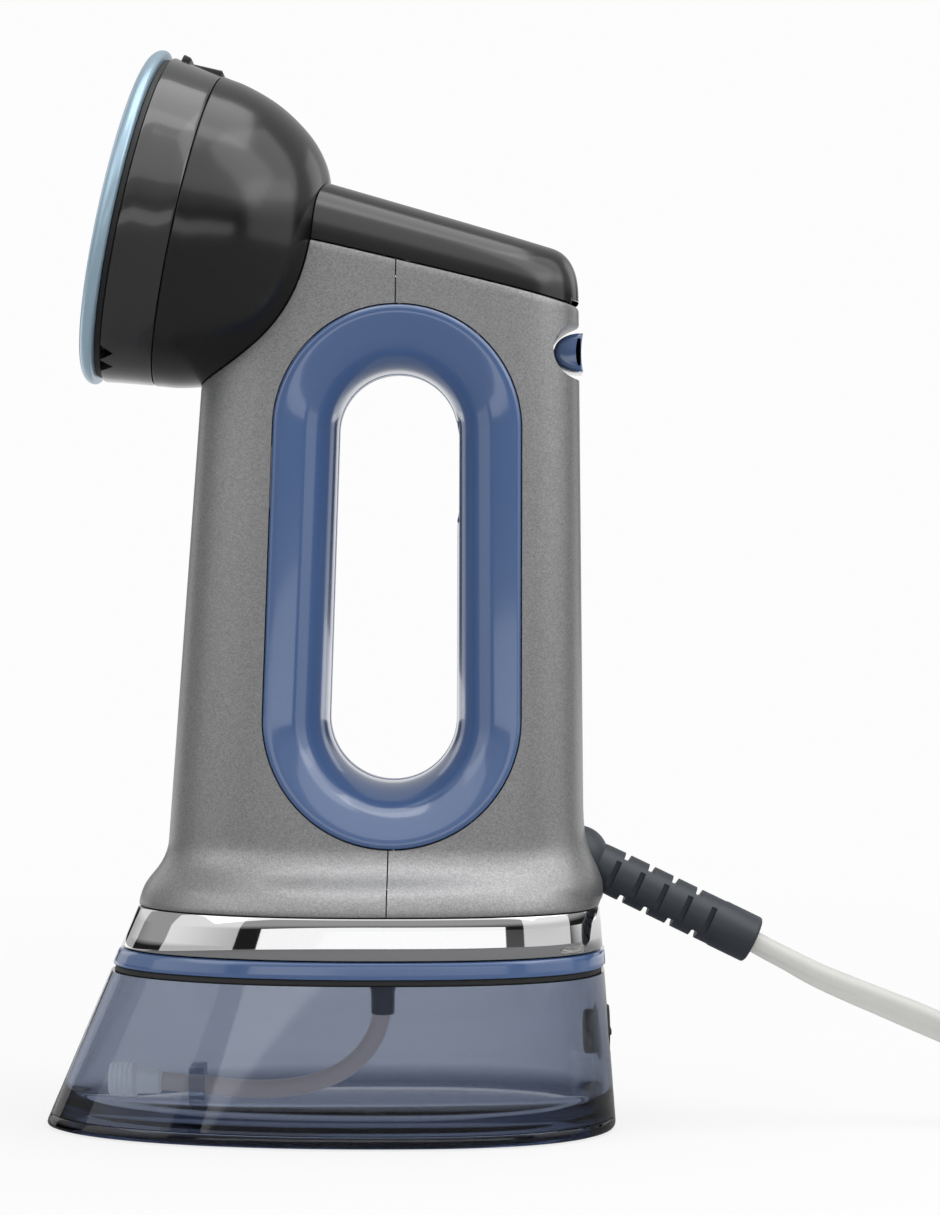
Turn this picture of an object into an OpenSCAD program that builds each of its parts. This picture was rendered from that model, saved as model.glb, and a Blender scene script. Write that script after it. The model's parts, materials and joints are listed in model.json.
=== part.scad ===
// Hand-held garment steamer with a lift-off water tank under its handle.
// Millimetres. +Z is up, the steam head looks along -X, the cord leaves along +X.
// The origin is the centre of the tank's foot, on the surface it stands on.

/* [Base and tank] */
// Length of the tank's foot, along X
foot_len = 149; // [130:1:180]
// Width of the tank's foot, along Y
foot_wid = 85; // [74:1:104]
// Height of the tank wall, from the surface to the collar
tank_h = 42; // [36:1:52]
// Height of the blue collar on top of the tank
collar_h = 4.7; // [3.8:0.1:6]
// Height of the chrome band above the collar
band_h = 10.8; // [8:0.1:14]
// Lean of the tank's front wall, in degrees
front_rake = 23; // [18:0.5:26]
// Lean of the tank's rear wall, in degrees
rear_rake = 4.3; // [2:0.1:8]
// Lean of the tank's side walls, in degrees
side_rake = 2.4; // [1:0.1:6]
// Thickness of the tank's wall
tank_wall = 2; // [1.5:0.1:3]
// Thickness of the plate that closes the tank below
foot_plate = 3.5; // [2.5:0.1:5]
// Radius of the fill plug in the tank's back wall
fill_r = 7; // [5:0.5:9]

/* [Body] */
// Height of the sweep between the chrome band and the upright body
flare_h = 17.5; // [14:0.5:22]
// Front of the upright body at the top of the sweep, behind the foot's centre
body_front = 42.2; // [38:0.1:46]
// Rear of the upright body at the top of the sweep
body_rear = 66; // [62:0.1:70]
// Width of the upright body at the top of the sweep
body_wid_low = 58; // [52:1:66]
// Width of the upright body at the head
body_wid_top = 48; // [44:1:54]
// Lean of the body's front edge, in degrees
body_lean = 4.1; // [2:0.1:6]
// Wall of the body shells
shell_wall = 2.2; // [1.6:0.1:3]
// Height of the body's rear top corner
body_rear_z = 212; // [204:1:224]
// Slope of the body's top edge, in degrees
top_slope = 13.3; // [10:0.1:16]
// Place of the seam between the front and rear shells, at the base
seam_x = 15.5; // [10:0.5:20]
// Lean of that seam, in degrees
seam_lean = 0.7; // [0:0.1:1.5]

/* [Handle] */
// Place along X of the finger hole's upper round end
hole_top_x = 17.8; // [15:0.1:20]
// Height of the centre of that round end
hole_top_z = 180.3; // [176:0.1:184]
// Radius of that round end
hole_top_r = 15.5; // [14:0.1:17]
// Place along X of the finger hole's lower round end
hole_low_x = 16.5; // [14:0.1:19]
// Height of the centre of the lower round end
hole_low_z = 106.4; // [100:0.1:112]
// Radius of the lower round end
hole_low_r = 16.6; // [15:0.1:18]
// Width of the blue rim round the hole, seen from the side
bezel_w = 16.2; // [14:0.1:17]
// Wall of the blue bezels and of the liner between them
bezel_wall = 2; // [1.6:0.1:2.6]
// Half of the liner's width, across the middle of the hole
liner_half = 2.2; // [1.6:0.1:4]
// Height of the trigger paddle
trigger_h = 26; // [20:1:30]
// Width of the trigger paddle
trigger_w = 18; // [14:1:22]
// Travel of the trigger
trigger_travel = 3; // [2:0.1:4]
// Radius of the thumb lever and, with its gap, of the scoop it rolls in
thumb_r = 6.9; // [6:0.1:8]
// Height of the thumb lever's face
thumb_face_h = 10; // [8:0.5:11]
// Width of the thumb lever
thumb_w = 18; // [14:1:22]

/* [Steam head] */
// Height of the centre of the head's rim
head_z = 236; // [228:1:244]
// Distance of that centre in front of the foot's centre
head_x = 49.7; // [46:0.1:54]
// Lean of the steam face away from upright, in degrees
head_tilt = 12.9; // [8:0.1:16]
// Radius of the head's rim
head_r = 43.1; // [40:0.1:47]
// Depth of the ring behind the rim
ring_depth = 13; // [10:0.5:16]
// Depth of the whole head behind the rim
head_depth = 48.3; // [44:0.1:52]
// Wall of the head
head_wall = 2.2; // [1.8:0.1:3]
// How far the soleplate stands out past the head's rim
sole_lip = 1.3; // [0:0.1:3]
// Thickness of the soleplate
sole_t = 4.2; // [3.4:0.1:5.5]
// Radius of each steam hole
steam_hole_r = 1.3; // [0.8:0.1:1.8]

/* [Cord] */
// Width of the flat two-core cord
cord_w = 8; // [6:0.5:9]
// Thickness of the cord
cord_t = 4.4; // [3.6:0.2:5]
// Radius of the ball on which the cord swivels
ball_r = 7.9; // [7:0.1:9]
// Length of the ribbed bend protector
boot_len = 43; // [36:1:52]
// Radius of the bend protector
boot_r = 6.3; // [5.5:0.1:7.5]

/* [Fits] */
// Gap between fixed pieces that touch in use
fit = 0.2; // [0.1:0.05:0.4]
// Gap round a moving piece
run_gap = 0.4; // [0.3:0.05:0.6]

/* [Hidden] */

$fn = 64;
plan_n = 48;          // points round a plan outline
ring_n = 48;          // points round the handle's outline
eps = 0.01;           // overlap of a cut with the face it opens
big = 400;            // larger than the whole object

// ---- outline of the base ----
band_z0 = tank_h + collar_h;
band_z1 = band_z0 + band_h;
flare_z = band_z1 + flare_h;
widest_x = 12;        // where the foot is widest
foot_front_exp = 2.05;
foot_rear_exp = 2.6;
foot_round = 1.4;     // edge radius of the foot
function front_x(z) = -foot_len / 2 + z * tan(front_rake);
function rear_x(z) = foot_len / 2 - z * tan(rear_rake);
function side_y(z) = foot_wid / 2 - z * tan(side_rake);

// One quarter-smooth closed outline: pointed by ef in front and er behind
function egg(xf, xr, w, xm, ef, er) = [for (i = [0 : plan_n - 1])
    let (t = 360 * i / plan_n, c = cos(t), s = sin(t), a = c > 0 ? xr - xm : xm - xf,
        e = c > 0 ? er : ef)
    [xm + a * sign(c) * pow(abs(c), 2 / e), w * sign(s) * pow(abs(s), 2 / e)]];
function at_z(outline, z) = [for (p = outline) [p[0], p[1], z]];
function base_plan(z, inset = 0) = at_z(egg(front_x(z) + inset / cos(front_rake),
    rear_x(z) - inset, side_y(z) - inset, widest_x, foot_front_exp, foot_rear_exp), z);

// ---- outline of the upright body ----
body_front_exp = 2.4;
body_rear_exp = 3.4;
body_mid_x = 14;      // where the body is widest
body_top_z = 250;     // the loft runs past the top and is cut
body_top_grow = (body_wid_low - body_wid_top) / 2 / (body_rear_z - flare_z);
function body_front_x(z) = -body_front + (z - flare_z) * tan(body_lean);
function body_rear_x(z) = body_rear - (z - flare_z) * 0.009;
function body_w(z) = body_wid_low / 2 - (z - flare_z) * body_top_grow;
function body_plan(z, inset = 0) = at_z(egg(body_front_x(z) + inset, body_rear_x(z) - inset,
    body_w(z) - inset, body_mid_x, body_front_exp, body_rear_exp), z);
// Half-width of the body at a place along X and a height
function body_y(x, z) = let (a = x > body_mid_x ? body_rear_x(z) - body_mid_x
    : body_mid_x - body_front_x(z), e = x > body_mid_x ? body_rear_exp : body_front_exp)
    body_w(z) * pow(max(0, 1 - pow(min(1, abs(x - body_mid_x) / a), e)), 1 / e);
// Outline part of the way from the band (0) up to the upright body (1)
function mix(a, b, k) = [for (i = [0 : len(a) - 1]) a[i] * (1 - k) + b[i] * k];
flare_steps = [[0.10, 0.035], [0.30, 0.20], [0.45, 0.46], [0.62, 0.74], [0.80, 0.92]];
function flare_ring(s, inset) = let (z = band_z1 + s[0] * flare_h)
    [for (p = mix(base_plan(band_z1, inset), body_plan(flare_z, inset), s[1])) [p[0], p[1], z]];
function body_rings(inset) = concat([base_plan(band_z1, inset)],
    [for (s = flare_steps) flare_ring(s, inset)],
    [body_plan(flare_z, inset), body_plan(body_top_z, inset)]);

// ---- handle ----
hole_span = hole_top_z - hole_low_z;
// Outline round the hole, e outside the hole's edge, at a depth that y(x, z) gives
function handle_pt(i, e) = let (t = 360 * i / ring_n + 90 / ring_n,
    up = sin(t) > 0, cx = up ? hole_top_x : hole_low_x, cz = up ? hole_top_z : hole_low_z,
    r = (up ? hole_top_r : hole_low_r) + e) [cx + r * cos(t), cz + r * sin(t)];
// The blue rim: [distance outside the hole, share of the body's half-width]
bezel_out = [[0, 0.1], [0, 0.22], [0.5, 0.42], [1.8, 0.62], [4.2, 0.80], [8, 0.93], [12, 0.99],
    [bezel_w - 1, 1.03], [bezel_w, 1.0], [bezel_w, 0.90]];
bezel_in = [[bezel_w - bezel_wall, 0.86], [12, 0.90], [8, 0.84], [4.6, 0.70],
    [3.2, 0.56], [bezel_wall, 0.36], [bezel_wall, 0.1]];
trigger_z = 170;      // middle of the trigger
trigger_open = trigger_h / 2 + run_gap;
trigger_x = (hole_top_x + hole_low_x) / 2 + (hole_top_r + hole_low_r) / 2;
trigger_d = 9;        // depth of the trigger, into the grip
thumb_z = 201;        // axis on which the thumb lever rolls
thumb_x = body_rear - 0.9;
scoop_wall = 2;

// ---- steam head ----
// Everything of the head stands on a plane through its rim; +Z looks out of the steam face
bowl_shares = [[0.933, 20], [0.870, 28.5], [0.773, 36], [0.661, 41.6], [0.522, 45.6],
    [0.350, 47.6], [0.165, 48.2]];    // [share of head_r, depth]
bowl_profile = concat([[0, 0], [head_r, 0], [head_r - 1.9, ring_depth]],
    [for (s = bowl_shares) [head_r * s[0], s[1]]], [[0, head_depth]]);
gasket_t = 1.8;
sole_r = head_r + sole_lip;
block_r = head_r - 10.1;
block_t = 13;
block_back = 17.5;    // depth of the heater block's back behind the rim
cover_t = 2;
element_r = 3.1;      // heating element, laid in a groove of the heater block
element_ring_r = block_r - 9;
groove_depth = 7;

// ---- cord ----
ball_x = body_rear - 1.3;
ball_z = band_z1 + 12.4;
boot_clear = 8.75;    // from the boot's axis to the rear edge of the chrome band
corner = [rear_x(band_z1) - ball_x, ball_z - band_z1];
lead_pitch = acos(boot_clear / norm(corner)) - atan2(corner[0], corner[1]);
boot_start = 2;       // the boot starts inside the ball
boot_end = ball_r + boot_len;
boot_tip = [ball_x + boot_end * cos(lead_pitch), ball_z - boot_end * sin(lead_pitch)];
drawn_tip = [110.5, 47.7];    // the boot's tip, for which the cord's points below are set
cord_shift = boot_tip[0] - drawn_tip[0];
coil_x = 240 + cord_shift;    // centre of the stored coil
coil_r = 44;          // middle of its turns
coil_w = 25;          // width of the bundle of turns
coil_h = 16.5;        // height of the bundle of turns
// Points of the free cord, from the boot down to the surface and up to the coil
lead_points = [[108, 0, 48], [111, 0, 46.4], [115, 0, 44.3], [120, 0, 41.9], [127, 0, 38.7],
    [135, 0, 35.2], [143, 0, 31.9], [151, 0, 28.6], [159, 0, 25.2], [167, -1, 21.7],
    [174, -4, 18.4], [180, -9, 15.2], [185, -15, 12.3], [189, -22, 9.8], [193, -29, 7.8]];
lead_end_z = 7.8;
lead_rise = (boot_tip[1] - lead_end_z) / (drawn_tip[1] - lead_end_z);
lead_route = [for (p = lead_points)
    [p[0] + cord_shift, p[1], lead_end_z + (p[2] - lead_end_z) * lead_rise]];
// Points of the cord's last stretch, from the top of the coil to the plug
tail_points = [[286, 2, 16.8], [286, 8, 17.2], [285, 15, 18], [282.5, 22, 19.3], [279, 28.5, 21],
    [274.5, 34.5, 22.6], [269, 40, 23.6], [263, 44, 24.1], [256, 46, 24.1]];
tail_route = [for (p = tail_points) [p[0] + cord_shift, p[1], p[2]]];
plug_len = 34;
plug_x = 256 + cord_shift;
plug_y = 46;
plug_r = 7.6;         // half the plug body's thickness
plug_z = coil_h + plug_r;
plug_turn = 172;      // heading of the plug's blades
blade_gap = 12.7;
blade_len = 16;
blade_t = 1.5;
blade_w = 6.4;

// ================= shared shapes =================
// A closed skin over rings of equal point count; loop joins the last ring to the first
module skin(rings, loop = false) {
    n = len(rings[0]);
    m = len(rings);
    sides = [for (j = [0 : m - (loop ? 1 : 2)], i = [0 : n - 1])
        let (a = j * n + i, b = j * n + (i + 1) % n, k = (j + 1) % m, c = k * n + (i + 1) % n,
            d = k * n + i) each [[a, c, b], [a, d, c]]];
    caps = loop ? [] : [[for (i = [0 : n - 1]) i], [for (i = [n - 1 : -1 : 0]) (m - 1) * n + i]];
    polyhedron([for (r = rings) each r], concat(sides, caps), convexity = 8);
}
// Places its children on the rim of the steam head, +Z out of the face, +X up the face
module on_head() translate([-head_x, 0, head_z]) rotate([0, head_tilt - 90, 0]) children();
// The head's outer shape, made larger by grow
module head_envelope(grow = 0) on_head() rotate([180, 0, 0])
    rotate_extrude() intersection() {
        offset(delta = grow) polygon(bowl_profile);
        translate([0, -grow]) square([big, big]);
    }
// Everything under the body's sloping top edge, lowered by drop
module under_top(drop = 0) translate([body_rear, 0, body_rear_z - drop])
    rotate([0, top_slope, 0]) translate([-big / 2, -big / 2, -big]) cube(big);
// Everything on the head's side of the seam
module ahead_of_seam(shift = 0) translate([seam_x + shift, 0, band_z1])
    rotate([0, seam_lean, 0]) translate([-big, -big / 2, -big / 2]) cube(big);
// The hole through the handle, grown by e
module hole_2d(e) hull() {
    translate([hole_top_x, hole_top_z]) circle(hole_top_r + e);
    translate([hole_low_x, hole_low_z]) circle(hole_low_r + e);
}
module through_y(depth) rotate([90, 0, 0]) linear_extrude(depth, center = true) children();
// A round bar from one point along an axis
module bar(p, turn, len, r) translate(p) rotate(turn) cylinder(h = len, r = r);
// A coil spring's outer sleeve, drawn at its pressed length
module spring_sleeve(len, r, wire) difference() {
    cylinder(h = len, r = r);
    translate([0, 0, -eps]) cylinder(h = len + 2 * eps, r = r - wire);
}
// A screw with a round head, its point along -Z
module screw(len, r) {
    cylinder(h = r * 1.2, r = r * 1.9);
    translate([0, 0, -len]) cylinder(h = len + eps, r = r);
}

// ================= steam head =================
steam_ring_counts = [6, 12, 18, 24];
steam_ring_radii = [for (s = [0.203, 0.383, 0.574, 0.766]) s * sole_r];
module soleplate() color("#8fa6b8") on_head() translate([0, 0, gasket_t]) difference() {
    rotate_extrude() intersection() {
        offset(r = 1.6) offset(delta = -1.6)
            polygon([[-20, 0], [sole_r - 0.6, 0], [sole_r, 0.9], [sole_r - 0.8, sole_t - 0.8],
                [sole_r - 3.4, sole_t], [-20, sole_t]]);
        square([sole_r, sole_t]);
    }
    for (k = [0 : len(steam_ring_counts) - 1], i = [0 : steam_ring_counts[k] - 1])
        rotate(360 * (i + k / 2) / steam_ring_counts[k])
            translate([steam_ring_radii[k], 0, -eps])
                cylinder(h = sole_t + 2 * eps, r = steam_hole_r, $fn = 16);
}
module soleplate_gasket() color("#15171a") on_head() difference() {
    translate([0, 0, -3]) cylinder(h = gasket_t + 3, r = head_r - 1);
    translate([0, 0, -3 - eps]) cylinder(h = gasket_t + 3 + 2 * eps, r = block_r + 1);
    translate([0, 0, -3 - eps]) difference() {
        cylinder(h = 3 + eps, r = big / 4);
        translate([0, 0, -eps]) cylinder(h = 4, r = head_r - 4);
    }
}
notch_w = 3.4;
module front_ring() color("#3a3a3c") on_head() difference() {
    rotate([180, 0, 0]) rotate_extrude() polygon([[head_r - 3, 0], [head_r, 0],
        [head_r - 1.9, ring_depth], [head_r - 5, ring_depth]]);
    for (side = [-1, 1], k = [-1, 1]) rotate(180 + side * (26 + k * 4.5))
        translate([head_r, 0, 0]) rotate([0, 90, 0])
            cylinder(h = 6, r = notch_w, center = true, $fn = 4);
    translate([head_r - catch_depth - fit, -catch_w / 2 - fit, -2 * ring_depth])
        cube([12, catch_w + 2 * fit, 3 * ring_depth]);
}
catch_w = 10;
catch_depth = 2.2;    // how far the catch is let into the ring
module attachment_catch() color("#111214") on_head() {
    translate([head_r - catch_depth, -catch_w / 2, -ring_depth + 0.4])
        cube([1.4, catch_w, ring_depth - 1]);
    translate([head_r - 1.2, -4, -3.6]) rotate([0, 14, 0]) cube([2.4, 8, 2.2]);
}
neck_r = 12;
module head_bowl() color("#1d1d1f") difference() {
    on_head() rotate([180, 0, 0]) rotate_extrude() difference() {
        intersection() {
            polygon(bowl_profile);
            translate([0, ring_depth + fit]) square(big);
        }
        offset(delta = -head_wall) polygon(concat([[-20, 0]], [for (p = bowl_profile) if (p[0] > 0) p],
            [[-20, head_depth]]));
        translate([-eps, 0]) square([head_r - 9, ring_depth + 8]);
    }
    translate([-6, 0, 190]) cylinder(h = 30, r = neck_r);
}
module heater_block() color("#b6b8ba") on_head() translate([0, 0, -block_back]) difference() {
    cylinder(h = block_t, r = block_r);
    translate([0, 0, -eps]) cylinder(h = 4, r = block_r - 5);
    translate([0, 0, block_t - groove_depth]) rotate_extrude()
        translate([element_ring_r - element_r - fit, 0])
            square([2 * (element_r + fit), groove_depth + eps]);
    for (i = [0 : 2]) rotate(120 * i + 60) translate([block_r - 2.6, 0, -eps])
        cylinder(h = block_t + 2 * eps, r = 1.5 + fit);
    translate([0, 0, -eps]) cylinder(h = block_t + 2 * eps, r = 2.5);
}
module steam_chamber_cover() color("#a9abad") on_head()
    translate([0, 0, -block_back - cover_t - fit]) difference() {
        cylinder(h = cover_t, r = block_r);
        for (i = [0 : 2]) rotate(120 * i + 60) translate([block_r - 2.6, 0, -eps])
            cylinder(h = cover_t + 2 * eps, r = 1.5 + fit);
        translate([-14, 0, -eps]) cylinder(h = cover_t + 2 * eps, r = 2 + fit);
    }
module heating_element() color("#6e6f70") on_head()
    translate([0, 0, -block_back + block_t - groove_depth + element_r + fit])
        rotate(30) rotate_extrude(angle = 300) translate([element_ring_r, 0]) circle(element_r);
module thermostat() color("#cfd0cf") on_head() translate([10, 8, -block_back - cover_t - 2 * fit - 6])
    { cylinder(h = 6, r = 7); translate([-9, -3, -2]) cube([18, 6, 2]); }
module thermal_fuse() color("#d8d4c4") on_head()
    translate([6, -14, -block_back - cover_t - 2 * fit - 2.4]) rotate([0, 90, 0])
        cylinder(h = 14, r = 2.2, center = true);
module heater_screws() color("#c8c9ca") on_head()
    for (i = [0 : 2]) rotate(120 * i + 60)
        translate([block_r - 2.6, 0, -block_back - cover_t - 2 * fit]) rotate([180, 0, 0])
            screw(14, 1.5);

// ================= top cover and controls =================
crest_slope = 16.2;
crest_x = body_rear - 9.1;    // where the crest starts to round over
crest_z = 228.7;
cover_end_x = body_rear - 1.1;
function top_edge_z(x) = body_rear_z + (body_rear - x) * tan(top_slope);
function crest(x) = crest_z + (crest_x - x) * tan(crest_slope);
cover_front_x = -14;
cover_steps = [0, 0.25, 0.5, 0.75, 0.9, 0.955, 0.985, 1];
cover_drops = [0, 0, 0, 0, 0.02, 0.16, 0.42, 0.72];
// An arch across the body at x; drop lowers the crest, inset thins it
function arch(x, drop, inset) = let (z0 = top_edge_z(x) + 0.4, h0 = crest(x) - z0,
    h = h0 * (1 - drop) - inset, w = body_y(x, z0) - 0.2 - inset)
    [for (i = [0 : 24]) let (t = 180 * i / 24, s = sin(t), c = cos(t))
        [x, w * sign(c) * pow(abs(c), 0.8), z0 + h * pow(s, 0.72)]];
module arch_loft(inset) skin([for (k = [0 : len(cover_steps) - 1])
    let (x = cover_front_x + (cover_end_x - inset - cover_front_x) * cover_steps[k])
    arch(x, cover_drops[k], inset)]);
strip_len = 56;
strip_wid = 15;
strip_t = 0.8;
strip_x = 30;         // middle of the control strip
module on_crest(x, lift = 0) translate([x, 0, crest(x)]) rotate([0, crest_slope, 0])
    translate([0, 0, lift]) children();
module strip_2d(grow) offset(r = 5 + grow) square([strip_len - 10, strip_wid - 10], center = true);
button_r = 5;
button_x = 26;
module top_cover() color("#161618") difference() {
    arch_loft(0);
    translate([0, 0, -eps]) arch_loft(shell_wall);
    head_envelope(fit);
    on_crest(strip_x, -strip_t - 0.5) linear_extrude(6) strip_2d(fit);
    on_crest(button_x, -6) cylinder(h = 12, r = button_r + run_gap);
    on_crest(strip_x + 14, -6) cylinder(h = 12, r = 1.6 + fit);
}
module control_strip() color("#0c0c0e") on_crest(strip_x, -strip_t - 0.4) difference() {
    linear_extrude(strip_t) strip_2d(0);
    translate([(button_x - strip_x) / cos(crest_slope), 0, -eps])
        cylinder(h = 2, r = button_r + run_gap);
    translate([14 / cos(crest_slope), 0, -eps]) cylinder(h = 2, r = 1.6 + fit);
}
module power_button() color("#2a2b2e") on_crest(button_x, -4.6) {
    cylinder(h = 4.6, r = button_r);
    cylinder(h = 1, r = button_r + 1.6);
}
module indicator_lens() color("#e8eef2") on_crest(strip_x + 14, -3.4)
    cylinder(h = 3.1, r = 1.6);

// ================= body shells and handle =================
cut_e = bezel_w + fit;
module body_solid(inset) skin(body_rings(inset));
module body_shell() difference() {
    body_solid(0);
    translate([0, 0, -eps]) body_solid(shell_wall);
    through_y(big) hole_2d(cut_e);
    head_envelope(fit);
    ball_socket();
}
module thumb_scoop(r, w = big) translate([thumb_x, 0, thumb_z]) rotate([90, 0, 0])
    cylinder(h = w, r = r, center = true);
module ball_socket() {
    translate([ball_x, 0, ball_z]) sphere(ball_r + fit);
    along_boot(0) cylinder(h = boot_len, r1 = boot_r + fit, r2 = boot_r + 8);
}
module front_shell() color("#8b8b8d") intersection() {
    body_shell();
    under_top();
    ahead_of_seam(-fit / 2);
}
module rear_shell() color("#8b8b8d") difference() {
    intersection() {
        union() {
            body_shell();
            intersection() {
                body_solid(0.02);
                thumb_scoop(thumb_r + run_gap + scoop_wall);
            }
        }
        under_top();
    }
    ahead_of_seam(fit / 2);
    thumb_scoop(thumb_r + run_gap);
    translate([thumb_x - 20, -lever_stem_w / 2 - run_gap, thumb_z - 5])
        cube([20, lever_stem_w + 2 * run_gap, 10]);
}
lever_stem_w = 4;
module shell_screws() color("#b5b6b8") for (side = [-1, 1], z = [80, 205])
    translate([38, side * (body_y(38, z) - 6.5), z]) rotate([0, 90, 0]) screw(16, 1.4);

// One ring of the blue rim, on the side given by side (-1 or 1)
function bezel_ring(p, side) = [for (i = [0 : ring_n - 1]) let (q = handle_pt(i, p[0]))
    [q[0], side * max(liner_half + fit, p[1] * body_y(q[0], q[1])), q[1]]];
module bezel(side) {
    profile = concat(bezel_out, bezel_in);
    count = len(profile);
    skin([for (k = [0 : count - 1]) bezel_ring(profile[side < 0 ? k : count - 1 - k], side)], true);
}
module trigger_window() translate([trigger_x - 6, 0, trigger_z])
    cube([40, trigger_w + 2 * run_gap, 2 * trigger_open], center = true);
module left_bezel() color("#5f78a8") difference() { bezel(1); trigger_slot(); }
module right_bezel() color("#5f78a8") difference() { bezel(-1); trigger_slot(); }
module trigger_slot() translate([trigger_x - 3, -trigger_w / 2 - run_gap, trigger_z - trigger_open])
    cube([14, trigger_w + 2 * run_gap, 2 * trigger_open]);
module handle_liner() color("#6f83ad") difference() {
    through_y(2 * liner_half) difference() {
        hole_2d(bezel_wall);
        hole_2d(0);
    }
    trigger_slot();
}
trigger_face_x = hole_top_x + hole_top_r - 0.2;
module trigger() color("#4a6496") difference() {
    union() {
        translate([trigger_face_x, -trigger_w / 2, trigger_z - trigger_h / 2])
            cube([trigger_d, trigger_w, trigger_h]);
        translate([trigger_face_x + trigger_d - 2, -trigger_w / 2 - 2, trigger_z - trigger_h / 2 - 2])
            cube([2, trigger_w + 4, trigger_h + 4]);
    }
    translate([trigger_face_x - 58.6, 0, trigger_z]) rotate([90, 0, 0])
        cylinder(h = 60, r = 60, center = true, $fn = 96);
}
grip_spring_x = trigger_face_x + trigger_d + trigger_travel + 0.3;
module trigger_spring() color("#c9cacb") translate([grip_spring_x, 0, trigger_z + 7])
    rotate([0, 90, 0]) spring_sleeve(4, 3, 0.8);
module trigger_switch() color("#202226") translate([grip_spring_x + 0.2, -3.2, trigger_z - 12])
    cube([5.8, 6.4, 12.8]);
module thumb_lever() color("#5f78a8") {
    intersection() {
        thumb_scoop(thumb_r, thumb_w);
        translate([thumb_x - thumb_r, -thumb_w / 2, thumb_z - thumb_face_h / 2])
            cube([thumb_r + 0.7, thumb_w, thumb_face_h]);
    }
    translate([thumb_x - thumb_r - 4, -lever_stem_w / 2, thumb_z - 1.2])
        cube([5, lever_stem_w, 2.4]);
}
module thumb_switch() color("#202226") translate([thumb_x - thumb_r - 11, -5, thumb_z - 8])
    cube([6, 10, 14]);

// ================= inside the body =================
board_x = body_rear - 13;
module circuit_board() color("#2e6b3f") {
    translate([board_x, -12, 100]) cube([1.6, 24, 64]);
    for (k = [0 : 3]) translate([board_x - 5, -8 + 2 * (k % 2), 106 + 13 * k]) cube([5, 9, 8]);
}
pump_x = -20;
pump_z = 92;
module pump() color("#d9d9d4") translate([pump_x, 0, pump_z]) {
    cylinder(h = 46, r = 10);
    translate([0, 0, -8]) cylinder(h = 8 + eps, r = 5);
    translate([0, 0, 46 - eps]) cylinder(h = 8, r = 4);
}
module pump_mounts() color("#222326") for (z = [pump_z + 2, pump_z + 38])
    translate([pump_x, 0, z]) difference() {
        cylinder(h = 6, r = 13);
        translate([0, 0, -eps]) cylinder(h = 6 + 2 * eps, r = 10 + fit);
    }
tube_n = 8;
// Unit vector along a route at point i
function heading(p, i) = let (a = p[max(0, i - 1)], b = p[min(len(p) - 1, i + 1)], d = b - a)
    d / norm(d);
// Oval rings along a route; wide is the half-width across, thin the half-height
function route_rings(p, wide, thin, n) = [for (i = [0 : len(p) - 1])
    let (t = heading(p, i), across = cross(t, abs(t[2]) > 0.95 ? [1, 0, 0] : [0, 0, 1]),
        u = across / norm(across), v = cross(u, t))
    [for (k = [0 : n - 1]) let (a = 360 * k / n) p[i] + u * wide * cos(a) + v * thin * sin(a)]];
module tube(p, wide, thin, n = tube_n) skin(route_rings(p, wide, thin, n));
suction_route = [[2, 0, 67], [-2, 0, 70], [-8, 0, 72.5], [-14, 0, 74], [-18, 0, 76.5], [-20, 0, 80],
    [-20, 0, 83.6]];
water_route = [[-20, 0, 146.4], [-20, 0, 154], [-18, 0, 164], [-15, 0, 174], [-12, 0, 184],
    [-8, 0, 194], [-7, 0, 204], [-9, 0, 214], [-15, 0, 220], [-21, 0, 222]];
module suction_tube() color("#dfe2e4") tube(suction_route, 2.5, 2.5);
module water_tube() color("#dfe2e4") tube(water_route, 2.5, 2.5);

// ================= base of the housing =================
port_x = 13.6;        // where water leaves the tank
port_r = 3.2;
module base_ring(z0, z1, inset, wall) difference() {
    skin([base_plan(z0, inset), base_plan(z1, inset)]);
    skin([base_plan(z0 - 1, inset + wall), base_plan(z1 + 1, inset + wall)]);
}
band_wall = 1.4;
frame_t = 3;
module chrome_band() color("#d8d9dc") base_ring(band_z0, band_z1, 0, band_wall);
module base_frame() color("#2b2c2f") difference() {
    union() {
        base_ring(band_z0 + 0.3, band_z1 - fit, band_wall + fit, 2);
        skin([base_plan(band_z0 + 0.3, band_wall + fit + 1.8),
            base_plan(band_z0 + 0.3 + frame_t, band_wall + fit + 1.8)]);
        translate([port_x, 0, band_z0 + 0.3]) cylinder(h = 9, r = port_r + 3);
    }
    translate([port_x, 0, band_z0 - 1]) cylinder(h = 20, r = port_r + fit);
    latch_pocket();
}
module water_port() color("#e7e7e2") translate([port_x, 0, band_z0 - 6]) difference() {
    union() {
        cylinder(h = 18, r = port_r);
        translate([0, 0, 15.5 + fit]) cylinder(h = 2.5, r = port_r + 2.4);
    }
    translate([0, 0, -eps]) cylinder(h = 18 + 2 * eps, r = 1.5);
}
module port_seal() color("#17181a") translate([port_x, 0, band_z0 - 2.4]) rotate_extrude()
    translate([port_r + 0.9, 0]) circle(0.8);
module cord_clamp() color("#26282c") translate([40, -9, band_z0 + frame_t + 0.5]) difference() {
    cube([10, 18, 9]);
    translate([-eps, 9, 4.5]) rotate([0, 90, 0]) cylinder(h = 12, r = 2.4);
    for (y = [3, 15]) translate([5, y, -eps]) cylinder(h = 12, r = 1.4 + fit);
}
module clamp_screws() color("#b5b6b8") for (y = [-6, 6])
    translate([45, y, band_z0 + frame_t + 0.5 + 9 + fit]) screw(8.6, 1.4);

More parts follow.
